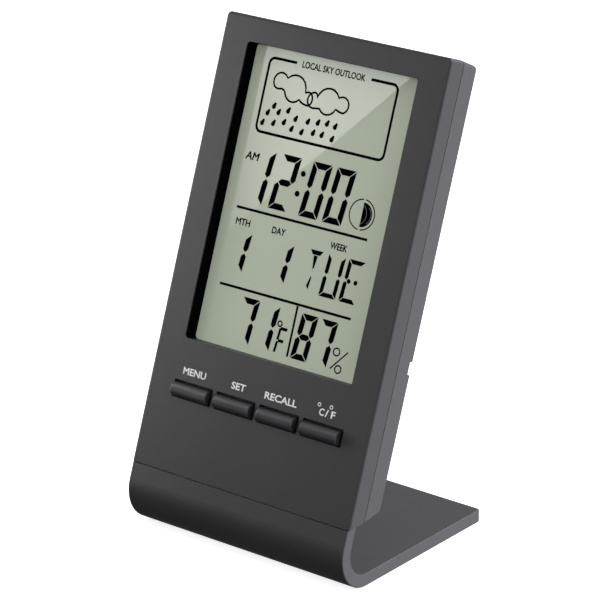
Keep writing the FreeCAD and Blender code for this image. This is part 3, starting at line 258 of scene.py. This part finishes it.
def board_finish():
    """A phenolic board with a green mask and a net of copper tracks under it."""
    paint = Paint("board")
    where = paint.on_panel()
    across = paint.split(where, 0)
    up = paint.split(where, 1)
    pitch, half_track = 2.54 * MM, 0.22 * MM
    row = paint.maths("PINGPONG", up, pitch / 2)
    column = paint.maths("PINGPONG", across, pitch / 2)
    some = paint.noise(9 * MM, 0.0) > 0.5
    track = ((row < half_track) * some + (column < half_track) * (1 - some)).clamp()
    mask = paint.noise(3 * MM, 3.0)
    green = paint.mix(mask, (0.010, 0.060, 0.022), (0.016, 0.085, 0.032))
    tint = paint.mix(track, green, (0.040, 0.150, 0.045))
    return paint.finish(tint, mask * 0.1 + 0.28, track * 0.8 + mask * 0.2, 0.02 * MM)


def sleeve_finish():
    """The cell's printed sleeve: dark with a pale band near the nub, and fine creases."""
    band_share, line_share, line_half = 0.28, 0.31, 0.4 * MM       # shares of the sleeve's length, from the nub
    paint = Paint("cell_sleeve")
    across = paint.split(paint.spot(), 0)
    crease = paint.noise(0.7 * MM, 3.0, stretch=(0.15, 1, 1))
    low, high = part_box("battery_sleeve")
    band = across > high.x - (high.x - low.x) * band_share
    line = paint.maths("COMPARE", across, high.x - (high.x - low.x) * line_share, line_half)
    tint = paint.mix(crease * 0.3, (0.012, 0.05, 0.11), (0.02, 0.075, 0.16))
    tint = paint.mix((band + line).clamp(), tint, (0.56, 0.55, 0.50))
    return paint.finish(tint, crease * 0.12 + 0.22, crease, 0.012 * MM, coat_weight=0.4, coat_roughness=0.1)


def glassy(name, colour, rough):
    """A glass sheet seen at its edges, with a ground margin."""
    paint = Paint(name)
    haze = paint.noise(4 * MM, 2.0)
    tint = paint.mix(haze, shade(colour, 0.9), shade(colour, 1.1))
    return paint.finish(tint, haze * 0.08 + rough, haze, 0.002 * MM, coat_weight=0.6, coat_roughness=0.05)


BLACK = (0.0180, 0.0176, 0.0181)
FINISHES = {
    "front_shell": moulded("front_shell", BLACK),
    "rear_shell": moulded("rear_shell", shade(BLACK, 1.12), rough=0.50),
    "stand": moulded("stand", (0.0288, 0.0287, 0.0308), rough=0.46),
    "door": moulded("door", shade(BLACK, 1.05), rough=0.50),
    "button": moulded("button", (0.0240, 0.0240, 0.0265), grain=0.22 * MM, relief=0.010 * MM, rough=0.40),
    "switch_body": polished("switch_body", (0.018, 0.018, 0.019), 0.38),
    "switch_plunger": polished("switch_plunger", (0.30, 0.28, 0.25), 0.42),
    "board": board_finish(),
    "resin": polished("resin", (0.008, 0.008, 0.009), 0.16),
    "can": metal("can", (0.62, 0.61, 0.58), 0.30, brush=(0.1, 1, 1)),
    "chip": polished("chip", (0.10, 0.065, 0.04), 0.45),
    "sensor": polished("sensor", (0.68, 0.68, 0.64), 0.42),
    "bead": polished("bead", (0.02, 0.045, 0.02), 0.22),
    "display_film": film_finish(),
    "display_glass": glassy("display_glass", (0.20, 0.25, 0.21), 0.12),
    "display_mirror": metal("display_mirror", (0.62, 0.64, 0.60), 0.34),
    "spacer": moulded("spacer", (0.035, 0.035, 0.037), grain=0.5 * MM, relief=0.12 * MM, rough=0.9, sheen=0.2),
    "strip": moulded("strip", (0.30, 0.30, 0.29), grain=0.4 * MM, relief=0.01 * MM, rough=0.7, sheen=0.3),
    "cell_can": metal("cell_can", (0.66, 0.65, 0.62), 0.28, brush=(0.1, 1, 1)),
    "cell_sleeve": sleeve_finish(),
    "contact": metal("contact", (0.60, 0.59, 0.56), 0.30, brush=(1, 0.1, 1)),
    "spring_wire": metal("spring_wire", (0.58, 0.57, 0.55), 0.26),
    "buzzer_brass": metal("buzzer_brass", (0.68, 0.50, 0.20), 0.30, brush=(1, 0.2, 1)),
    "buzzer_ceramic": polished("buzzer_ceramic", (0.60, 0.60, 0.57), 0.35),
    "screw": metal("screw", (0.32, 0.32, 0.33), 0.32),
}
LCD_INK = ink_finish("liquid_crystal", (0.0012, 0.0013, 0.0014), sheen=0.0)
PALE_INK = ink_finish("pale_crystal", (0.16, 0.18, 0.15), sheen=0.02)
WHITE_INK = ink_finish("legend_white", (0.86, 0.86, 0.86), rough=0.55)
# painted shade: a near-black finish for the window's walls and the shadows round the button slots
PAINTED_SHADE = ink_finish("painted_shade_black", (0.0022, 0.0022, 0.0024), rough=0.9, sheen=0.0)

# a node's finish goes by its slot in the record, or else by the name of the material that it came with
slots = {}
for entry in frame["record"]["materials"]:
    for node in entry.get("nodes", []):
        slots[node] = entry["slot"]
for name, node in frame["nodes"].items():
    finish = FINISHES.get(slots.get(name)) or FINISHES[node.material_slots[0].material.name]
    for place_held in node.material_slots:
        place_held.material = finish


# ------------------------------------------------------------ makers
def place(mesh, name, body, material):
    """Put a mesh drawn on the panel where it belongs, and let it ride on a body."""
    mesh.transform(TO_WORLD)
    piece = bpy.data.objects.new(name, mesh)
    bpy.context.scene.collection.objects.link(piece)
    piece.data.materials.clear()
    piece.data.materials.append(material)
    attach(piece, body)
    return piece


INK = 0.03                     # thickness of anything printed or driven on the display
SCREEN = SCREEN_HIGH.z         # front of the display's film
MID = (SCREEN_LOW.x + SCREEN_HIGH.x) / 2
DRAWING_DROP = 2.5             # the display is laid out from a line this far under its film


def spot_on_screen(x, y):
    """A point of the display: x from its middle, y from the line that it is laid out from."""
    return MID + x, SCREEN_LOW.y - DRAWING_DROP + y


def plates(name, outlines, material, level=None, thick=INK):
    """Flat plates, one for each outline."""
    level = SCREEN if level is None else level
    bm = bmesh.new()
    for outline in outlines:
        corners = [bm.verts.new((x, y, level)) for x, y in outline]
        face = bm.faces.new(corners)
        face.normal_update()
        if face.normal.z < 0:
            face.normal_flip()
        raised = bmesh.ops.extrude_face_region(bm, geom=[face], use_keep_orig=True)["geom"]
        bmesh.ops.translate(bm, vec=(0, 0, thick),
                            verts=[v for v in raised if isinstance(v, bmesh.types.BMVert)])
        face.normal_flip()
    bmesh.ops.recalc_face_normals(bm, faces=bm.faces)
    mesh = bpy.data.meshes.new(name)
    bm.to_mesh(mesh)
    bm.free()
    return place(mesh, name, "case", material)


def lines(name, paths, width, material, flat=INK, level=None):
    """Drawn lines of one width along paths: (points, closed)."""
    level = SCREEN if level is None else level
    curve = bpy.data.curves.new(name, "CURVE")
    curve.dimensions = "3D"
    curve.bevel_depth = width / 2
    curve.bevel_resolution = 2
    curve.use_fill_caps = True
    for points, closed in paths:
        spline = curve.splines.new("POLY")
        spline.points.add(len(points) - 1)
        for point, (x, y) in zip(spline.points, points):
            point.co = (x, y, 0, 1)
        spline.use_cyclic_u = closed
    held = bpy.data.objects.new(name, curve)
    mesh = bpy.data.meshes.new_from_object(held)
    bpy.data.objects.remove(held)
    mesh.name = name
    mesh.transform(Matrix.Translation((0, 0, level)) @ Matrix.Diagonal((1, 1, flat / width * 2, 1)))
    return place(mesh, name, "case", material)


BOLD = 0.026                   # added round each stroke of a letter, for letters 1 high
WELD = 0.0005                  # corners of letters closer than this are one


def lettering(name, words, material, level, thick):
    """Words made of flat letters: (text, left, low, width, cap height, slant)."""
    joined = bmesh.new()
    for text, left, low, width, cap, slant in words:
        curve = bpy.data.curves.new(name, "FONT")
        curve.body = text
        curve.extrude = curve.bevel_depth = BOLD
        curve.shear = slant
        curve.resolution_u = 3
        held = bpy.data.objects.new(name, curve)
        mesh = bpy.data.meshes.new_from_object(held)
        bpy.data.objects.remove(held)
        xs = [v.co.x for v in mesh.vertices]
        ys = [v.co.y for v in mesh.vertices]
        wide, tall = max(xs) - min(xs), max(ys) - min(ys)
        fit = (Matrix.Translation((left, low, level + thick / 2))
               @ Matrix.Diagonal((width / wide, cap / tall, thick / (4 * BOLD), 1))
               @ Matrix.Translation((-min(xs), -min(ys), 0)))
        mesh.transform(fit)
        joined.from_mesh(mesh)
    bmesh.ops.remove_doubles(joined, verts=joined.verts, dist=WELD)
    mesh = bpy.data.meshes.new(name)
    joined.to_mesh(mesh)
    joined.free()
    return place(mesh, name, "case", material)


def arc_through(start, way, end, count=7):
    """Points on the circle arc from start by way to end, without the end itself."""
    (ax, ay), (bx, by), (cx, cy) = start, way, end
    twice = 2 * (ax * (by - cy) + bx * (cy - ay) + cx * (ay - by))
    a2, b2, c2 = ax * ax + ay * ay, bx * bx + by * by, cx * cx + cy * cy
    ox = (a2 * (by - cy) + b2 * (cy - ay) + c2 * (ay - by)) / twice
    oy = (a2 * (cx - bx) + b2 * (ax - cx) + c2 * (bx - ax)) / twice
    radius = math.hypot(ax - ox, ay - oy)
    angles = [math.atan2(y - oy, x - ox) for x, y in (start, way, end)]
    turn = math.tau if twice > 0 else -math.tau
    while (angles[1] - angles[0]) * turn < 0:
        angles[1] += turn
    while (angles[2] - angles[1]) * turn < 0:
        angles[2] += turn
    sweep = angles[2] - angles[0]
    return [(ox + radius * math.cos(angles[0] + sweep * i / count),
             oy + radius * math.sin(angles[0] + sweep * i / count)) for i in range(count)]


# ------------------------------------------------------------ numbers made of bars
BAR_GAP = 0.16                 # from a bar's tip to the corner that it shares with the next
SEGMENTS = {"0": "abcdef", "1": "bc", "2": "abdeg", "7": "abc", "8": "abcdefg"}


def bars(digit, left, low, wide, tall, stroke, slant, only=None):
    """Outlines of a digit's lit bars. left and low are the middle lines of its outer bars."""
    s, g = stroke / 2, BAR_GAP
    mid = tall / 2
    shapes = {
        "a": [(-s + g, tall + s), (wide + s - g, tall + s), (wide - s - g, tall - s), (s + g, tall - s)],
        "d": [(s + g, s), (wide - s - g, s), (wide + s - g, -s), (-s + g, -s)],
        "f": [(-s, tall + s - g), (s, tall - s - g), (s, mid + s + g), (0, mid + g), (-s, mid + s + g)],
        "e": [(-s, -s + g), (s, s + g), (s, mid - s - g), (0, mid - g), (-s, mid - s - g)],
        "b": [(wide + s, tall + s - g), (wide - s, tall - s - g), (wide - s, mid + s + g), (wide, mid + g),
              (wide + s, mid + s + g)],
        "c": [(wide + s, -s + g), (wide - s, s + g), (wide - s, mid - s - g), (wide, mid - g),
              (wide + s, mid - s - g)],
        "g": [(g, mid), (s + g, mid + s), (wide - s - g, mid + s), (wide - g, mid), (wide - s - g, mid - s),
              (s + g, mid - s)],
    }
    out = []
    for key in only or SEGMENTS[digit]:
        out.append([spot_on_screen(left + x + slant * y, low + y) for x, y in shapes[key]])
    return out


LEAN = 0.105                   # slant of the numbers


def time_row():
    low, tall, wide, stroke = 40.8, 12.5, 4.35, 1.6
    out = []
    for digit, left in (("1", -20.0), ("2", -11.95), ("0", -2.2), ("0", 5.3)):
        out += bars(digit, left, low, wide, tall, stroke, LEAN)
    return out


def disc(x, y, radius, count=20):
    cx, cy = spot_on_screen(x, y)
    return [(cx + radius * math.cos(math.tau * i / count), cy + radius * math.sin(math.tau * i / count))
            for i in range(count)]


plates("time_digits", time_row(), LCD_INK)
plates("time_colon", [disc(-4.07, 50.4, 0.75), disc(-4.68, 45.2, 0.75)], LCD_INK)

# month and date
calendar = []
for left in (-20.9, -7.35):
    calendar += bars("1", left, 23.2, 3.6, 8.55, 1.55, LEAN)
plates("calendar_digits", calendar, LCD_INK)


def box_bar(x0, x1, y0, y1, slant=LEAN):
    return [spot_on_screen(x + slant * (y - y0), y) for x, y in ((x0, y0), (x1, y0), (x1, y1), (x0, y1))]


def outline(*corners):
    return [spot_on_screen(x, y) for x, y in corners]


# weekday, in the same kind of bars: a T of three pieces, a U, and an E of an open eight and two discs
weekday = [
    outline((3.15, 32.75), (7.1, 32.75), (6.2, 31.6), (3.9, 31.6)),
    outline((4.35, 31.4), (5.6, 31.4), (5.15, 28.3), (4.75, 27.9)),
    outline((4.75, 26.2), (5.0, 25.9), (4.65, 22.8), (3.9, 23.6)),
]
for left, wide, lit in ((8.75, 4.1, "bcdef"), (15.0, 4.05, "adef")):
    weekday += bars("8", left, 22.55, wide, 9.75, 1.1, 0.07, only=lit)
weekday += [disc(16.3, 27.37, 0.6, 12), disc(18.4, 27.37, 0.6, 12)]
plates("weekday_letters", weekday, LCD_INK)

# temperature and humidity
climate = []
for digit, left, wide in (("7", -14.5, 4.0), ("1", -7.95, 4.0), ("8", 4.5, 3.6), ("7", 10.6, 3.7)):
    climate += bars(digit, left, 5.8, wide, 10.2, 1.5, 0.09)
plates("climate_digits", climate, LCD_INK)
unit_bars = [box_bar(-1.0, 1.2, 11.1, 11.9), box_bar(-1.55, -0.85, 8.6, 11.5),
             box_bar(-1.8, -1.1, 5.4, 8.2), box_bar(-1.0, 0.7, 8.0, 8.8)]
plates("unit_letter", unit_bars, LCD_INK)


def ring(x, y, radius, count=24):
    return disc(x, y, radius, count), True


lines("degree_ring", [ring(-1.4, 12.6, 0.65)], 0.4, LCD_INK)
lines("percent_sign", [ring(17.25, 9.7, 0.95), ring(18.7, 5.6, 0.95),
                       ([spot_on_screen(16.3, 5.3), spot_on_screen(20.64, 10.3)], False)], 0.38, LCD_INK)

# rules between the rows
plates("screen_rules", [box_bar(-22.3, 19.07, 38.07, 38.72, 0), box_bar(-22.5, 19.3, 18.15, 18.8, 0)],
       LCD_INK)
plates("climate_divider", [box_bar(2.5, 3.1, 5.1, 18.1, 0)], LCD_INK)


# ------------------------------------------------------------ forecast picture
def frame_paths():
    """A rounded frame with a gap in its top line for the title."""
    left, right, low, high, bend = -21.6, 18.6, 58.16, 77.05, 1.6
    gap_left, gap_right = -13.2, 10.2
    corners = []
    for cx, cy, start in ((right - bend, high - bend, 90), (right - bend, low + bend, 0),
                          (left + bend, low + bend, -90), (left + bend, high - bend, -180)):
        for step in range(7):
            angle = math.radians(start - 15 * step)
            corners.append((cx + bend * math.cos(angle), cy + bend * math.sin(angle)))
    path = [(gap_right, high)] + corners + [(gap_left, high)]
    return [([spot_on_screen(x, y) for x, y in path], False)]


lines("forecast_frame", frame_paths(), 0.72, LCD_INK)

LEFT_CLOUD = [
    ((-18.6, 70.15), (-18.75, 72.9), (-14.96, 72.8)),
    ((-14.96, 72.8), (-11.6, 73.95), (-8.7, 70.2)),
    ((-8.7, 70.2), (-7.9, 70.45), (-6.9, 70.35)),
    ((-6.9, 70.35), (-6.2, 68.7), (-6.9, 67.2)),
    ((-6.9, 67.2), (-8.5, 67.3), (-10.25, 68.16)),
    ((-10.25, 68.16), (-12.6, 67.16), (-14.9, 68.9)),
    ((-14.9, 68.9), (-15.6, 69.7), (-16.5, 69.85)),
    ((-16.5, 69.85), (-17.7, 69.75), (-18.6, 70.15)),
]
RIGHT_CLOUD = [
    ((-4.8, 69.6), (-1.2, 72.6), (1.8, 70.8)),
    ((1.8, 70.8), (5.1, 69.7), (3.96, 67.3)),
    ((3.96, 67.3), (2.9, 67.4), (1.46, 67.87)),
    ((1.46, 67.87), (-1.0, 66.0), (-3.5, 67.1)),
    ((-3.5, 67.1), (-4.6, 67.0), (-5.5, 66.87)),
    ((-5.5, 66.87), (-7.55, 68.3), (-6.4, 70.6)),
    ((-6.4, 70.6), (-5.6, 70.8), (-4.8, 69.6)),
]


def cloud(lobes):
    path = []
    for start, way, end in lobes:
        path += arc_through(start, way, end)
    return [spot_on_screen(x, y) for x, y in path], True


lines("forecast_clouds", [cloud(LEFT_CLOUD), cloud(RIGHT_CLOUD)], 0.52, LCD_INK)

DROPS = [(-17.36, 65.37), (-18.9, 63.4), (-15.57, 64.05), (-12.7, 65.0), (-9.96, 63.4), (-6.07, 63.4),
         (-2.96, 63.76), (-0.14, 64.05), (2.43, 63.76), (-19.96, 60.7), (-16.5, 61.1), (-13.3, 61.9),
         (-10.6, 60.7), (-7.36, 60.5), (-3.8, 61.0), (-1.04, 61.0), (2.25, 60.55)]


def drop(x, y):
    """A rain drop with its tip up and to the right."""
    count, body, tip, tip_angle, sharpness = 14, 0.62, 0.75, 1.15, 9
    edge = []
    for i in range(count):
        angle = math.tau * i / count
        reach = body + tip * max(0.0, math.cos(angle - tip_angle)) ** sharpness
        edge.append(spot_on_screen(x - 0.08 + reach * math.cos(angle), y - 0.3 + reach * math.sin(angle)))
    return edge


plates("forecast_rain", [drop(x, y) for x, y in DROPS], LCD_INK)


# ------------------------------------------------------------ moon sign
MOON_X, MOON_Y = 15.93, 44.15


def moon_arc(start, end, radius, x=MOON_X, count=18):
    points = []
    for i in range(count + 1):
        angle = math.radians(start + (end - start) * i / count)
        points.append(spot_on_screen(x + radius * math.cos(angle), MOON_Y + radius * math.sin(angle)))
    return points


lines("moon_ring", [(moon_arc(95, 265, 3.8), False), (moon_arc(-85, 85, 3.8), False)], 0.32, LCD_INK)
plates("moon_dark", [moon_arc(-90, 90, 3.1)], LCD_INK)
lines("moon_lines", [(moon_arc(-62, 62, 2.9, 14.4), False), (moon_arc(-55, 55, 2.4, 16.3), False)],
      0.2, PALE_INK, flat=INK * 2)


# ------------------------------------------------------------ painted shade: a black liner round the window
def rounded(half, low, high, bend, steps=6):
    """Corners of an upright rounded rectangle, on the panel."""
    path = []
    for cx, cy, start in ((half - bend, high - bend, 0), (bend - half, high - bend, 90),
                          (bend - half, low + bend, 180), (half - bend, low + bend, 270)):
        for step in range(steps + 1):
            angle = math.radians(start + 90 * step / steps)
            path.append((cx + bend * math.cos(angle), cy + bend * math.sin(angle)))
    return path


def window_painted_shade():
    """A thin matt black sleeve on the window's side and top walls, painted shade that darkens them; it also hides
    the edge of the display.
    """
    hidden_side, hidden_low, hidden_top = 0.65, 0.6, 1.1       # the film's margins behind the front shell
    gap, wall, corner = 0.02, 0.09, 1.0
    lip = 0.42                                                 # from the front face down to the sleeve
    trim = 0.03                                                # cut off above the bottom side
    half = SCREEN_HIGH.x - hidden_side - gap
    low, high = SCREEN_LOW.y + hidden_low + gap, SCREEN_HIGH.y - hidden_top - gap
    bm = bmesh.new()
    sill = SCREEN + INK
    opening = bm.faces.new([bm.verts.new((x, y, sill)) for x, y in rounded(half, low, high, corner)])
    bm.normal_update()
    bmesh.ops.inset_region(bm, faces=[opening], thickness=wall, use_even_offset=True, use_boundary=True)
    bmesh.ops.delete(bm, geom=[opening], context="FACES_ONLY")
    grown = bmesh.ops.extrude_face_region(bm, geom=list(bm.faces), use_keep_orig=True)
    raised = [item for item in grown["geom"] if isinstance(item, bmesh.types.BMVert)]
    bmesh.ops.translate(bm, vec=(0, 0, -lip - sill), verts=raised)
    bmesh.ops.bisect_plane(bm, geom=bm.verts[:] + bm.edges[:] + bm.faces[:], dist=1e-5, clear_inner=True,
                           plane_co=(0, low + wall + trim, 0), plane_no=(0, 1, 0))
    bmesh.ops.holes_fill(bm, edges=[edge for edge in bm.edges if edge.is_boundary], sides=0)
    bmesh.ops.recalc_face_normals(bm, faces=bm.faces)
    mesh = bpy.data.meshes.new("window_painted_shade")
    bm.to_mesh(mesh)
    bm.free()
    return place(mesh, "window_painted_shade", "case", PAINTED_SHADE)


window_painted_shade()

# ------------------------------------------------------------ words on the display
lettering("screen_words", [
    ("LOCAL SKY OUTLOOK", *spot_on_screen(-11.4, 76.15), 19.8, 1.75, 0),
    ("AM", *spot_on_screen(-23.0, 50.7), 4.5, 2.05, 0.15),
    ("MTH", *spot_on_screen(-21.6, 34.05), 4.6, 1.75, 0),
    ("DAY", *spot_on_screen(-9.9, 34.05), 4.3, 1.75, 0),
    ("WEEK", *spot_on_screen(8.6, 34.05), 5.3, 1.75, 0),
], LCD_INK, SCREEN, INK)

# ------------------------------------------------------------ painted shadow: black strips round the button slots
GAP_SIDE, GAP_LOW, GAP_TOP = 0.3, 0.2, 0.45                     # button to the edges of its slot
SHADOW_LEFT, SHADOW_LOW, SHADOW_RIGHT, SHADOW_TOP = 0.06, 0.05, 0.36, 0.16  # widths of the painted shadow strips, widest right of the slot and above it
THIN = 0.02                                                     # thickness of anything printed on the case


def slot_painted_shadow(node):
    """Four mitred strips of painted shadow round a button's slot."""
    cap = [spot for spot in (TO_PANEL @ v.co for v in frame["nodes"][node].data.vertices) if spot.z > 0]
    x0, x1 = min(spot.x for spot in cap) - GAP_SIDE, max(spot.x for spot in cap) + GAP_SIDE
    y0, y1 = min(spot.y for spot in cap) - GAP_LOW, max(spot.y for spot in cap) + GAP_TOP
    inner = [(x0, y0), (x1, y0), (x1, y1), (x0, y1)]
    outer = [(x0 - SHADOW_LEFT, y0 - SHADOW_LOW), (x1 + SHADOW_RIGHT, y0 - SHADOW_LOW),
             (x1 + SHADOW_RIGHT, y1 + SHADOW_TOP), (x0 - SHADOW_LEFT, y1 + SHADOW_TOP)]
    return [[inner[i], outer[i], outer[(i + 1) % 4], inner[(i + 1) % 4]] for i in range(4)]


BUTTONS = ("mode_button", "adjust_button", "memory_button", "unit_button")
# painted shadow: near-black strips on the panel round each button's slot
plates("slot_painted_shadows", [strip for button in BUTTONS for strip in slot_painted_shadow(button)],
       PAINTED_SHADE, level=0.0, thick=THIN)

# ------------------------------------------------------------ legends over the buttons
LEGEND_LOW = 25.2
LEGENDS = [("MENU", -24.8, 7.4), ("SET", -9.0, 4.5), ("RECALL", 1.7, 10.2),
           ("C", 18.9, 1.5), ("/", 20.75, 0.95), ("F", 22.55, 1.3)]
lettering("button_legends", [(text, left, LEGEND_LOW, width, 1.85, 0) for text, left, width in LEGENDS],
          WHITE_INK, 0.0, THIN)


def legend_ring(x, y, radius=0.42, count=16):
    turns = [math.tau * i / count for i in range(count)]
    return [(x + radius * math.cos(turn), y + radius * math.sin(turn)) for turn in turns], True


lines("degree_legends", [legend_ring(18.5, 27.8), legend_ring(22.2, 27.9)], 0.22, WHITE_INK, THIN, 0.0)

# ------------------------------------------------------------ floor, light and camera
CAMERA_TURN, CAMERA_RISE, CAMERA_FAR = math.radians(38.30), math.radians(20.68), 0.7909
AIM = Vector((0.0018, -0.0044, 0.0634))


def towards(turn, rise):
    return Vector((math.sin(turn) * math.cos(rise), -math.cos(turn) * math.cos(rise), math.sin(rise)))


lens = bpy.data.cameras.new("camera")
lens.lens = 189.97
lens.sensor_width = 36.0
lens.clip_start = 0.01
lens.clip_end = 200.0
camera = bpy.data.objects.new("camera", lens)
bpy.context.scene.collection.objects.link(camera)
camera.location = AIM + towards(CAMERA_TURN, CAMERA_RISE) * CAMERA_FAR
camera.rotation_euler = (camera.location - AIM).to_track_quat("Z", "Y").to_euler()
bpy.context.scene.camera = camera


def floor():
    """A white floor just under the foot. It takes shadow, and neither lights the object nor shows in it."""
    half, drop = 60.0, 0.05 * MM
    bm = bmesh.new()
    bmesh.ops.create_grid(bm, x_segments=4, y_segments=4, size=half)
    bmesh.ops.translate(bm, vec=(0, 0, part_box("stand_foot")[0].z - drop), verts=bm.verts)
    mesh = bpy.data.meshes.new("floor")
    bm.to_mesh(mesh)
    bm.free()
    ground = bpy.data.objects.new("floor", mesh)
    bpy.context.scene.collection.objects.link(ground)
    paint = Paint("floor")
    cloud = paint.noise(0.6, 2.0)
    tint = paint.mix(cloud, (0.90, 0.90, 0.90), (0.92, 0.92, 0.92))
    ground.data.materials.append(paint.finish(tint, 0.9, specular_ior_level=0.0,
                                              emission_color=(1, 1, 1, 1), emission_strength=0.72))
    ground.visible_diffuse = False
    ground.visible_glossy = False


floor()


def lamp(name, turn, rise, far, wide, tall, watts, colour=(1, 1, 1), gloss_only=False):
    """A soft rectangular light that looks at the case. One for gloss alone shows only in reflections."""
    light = bpy.data.lights.new(name, "AREA")
    light.shape = "RECTANGLE"
    light.size, light.size_y = wide, tall
    light.energy = watts
    light.color = colour
    held = bpy.data.objects.new(name, light)
    bpy.context.scene.collection.objects.link(held)
    held.location = AIM + towards(math.radians(turn), math.radians(rise)) * far
    held.rotation_euler = (held.location - AIM).to_track_quat("Z", "Y").to_euler()
    held.visible_camera = False
    held.visible_diffuse = not gloss_only
    return held


lamp("rim_light", 152, 38, 0.8, 0.25, 0.25, 3.6, (0.88, 0.95, 1.08))
lamp("left_light", -72, 12, 0.20, 0.06, 0.14, 0.28, gloss_only=True)
lamp("low_left_light", -58, -9, 0.22, 0.08, 0.05, 0.05, gloss_only=True)
lamp("front_light", 6, 24, 0.9, 0.35, 0.30, 2.1)


def sky():
    """Studio light: bright behind the case on its right, fair above, and dim where the camera stands."""
    world = bpy.data.worlds.new("studio")
    bpy.context.scene.world = world
    paint = Paint("studio", world)
    where = paint.spot("Generated")

    def facing(turn, rise):
        lobe = towards(math.radians(turn), math.radians(rise))
        return paint.node("ShaderNodeVectorMath", {"operation": "DOT_PRODUCT"}, [where, lobe], "Value")

    behind, above, far_left = (125, -8), (0, 90), (-140, 15)
    full = 0.95                                                # how nearly a ray faces a lobe at its brightest
    light = 0.06
    for lobe, start, strength in ((behind, 0.15, 2.0), (above, 0.1, 0.80), (far_left, 0.3, 0.25)):
        light = paint.steps(facing(*lobe), start, full) * strength + light
    tint = paint.mix(paint.steps(facing(*behind), 0.0, 0.6), (1, 1, 1), (1.01, 0.99, 1.08))
    background = paint.tree.nodes["Background"]
    paint.feed(background.inputs["Strength"], light)
    paint.feed(background.inputs["Color"], tint)


sky()


def glare_card():
    """A lit card that the camera does not see, whose mirror image lies across the upper left of the display."""
    eye = TO_PANEL @ camera.location
    eye.z = 2 * SCREEN - eye.z
    middle = Vector((*spot_on_screen(0, 40), SCREEN))
    along = (middle - eye).normalized()
    stand_off, glare = 300.0, 3.6
    bm = bmesh.new()
    fade = bm.verts.layers.float.new("fade")
    # where each row of the image starts and ends on the display's plane, and how much of the light it has
    rows = (((38, 97.1), (10, 112), 1.0), ((1.3, 57.9), (-34, 94), 1.0),
            ((-16, 39.5), (-37, 70), 0.5), ((-33, 21.5), (-38, 45), 0.0))
    made = []
    for near_end, far_end, light in rows:
        row = []
        for x, y in (near_end, far_end):
            spot = Vector((*spot_on_screen(x, y), SCREEN))
            ray = (spot - eye).normalized()
            reach = (stand_off + (middle - eye).length) / ray.dot(along)
            corner = bm.verts.new(eye + ray * reach)
            corner[fade] = light
            row.append(corner)
        made.append(row)
    for (a, b), (c, d) in zip(made, made[1:]):
        bm.faces.new((a, b, d, c))
    mesh = bpy.data.meshes.new("glare_card")
    bm.to_mesh(mesh)
    bm.free()
    mesh.transform(TO_WORLD)
    card = bpy.data.objects.new("glare_card", mesh)
    bpy.context.scene.collection.objects.link(card)
    paint = Paint("glare_card")
    strength = paint.node("ShaderNodeAttribute", {"attribute_name": "fade"}, [], "Fac")
    glow = paint.node("ShaderNodeEmission", {}, {"Color": (1, 1, 1, 1), "Strength": strength * glare})
    output = paint.tree.nodes["Material Output"]
    paint.tree.links.new(glow.socket, output.inputs["Surface"])
    card.data.materials.append(paint.material)
    card.visible_camera = False
    card.visible_shadow = False


glare_card()
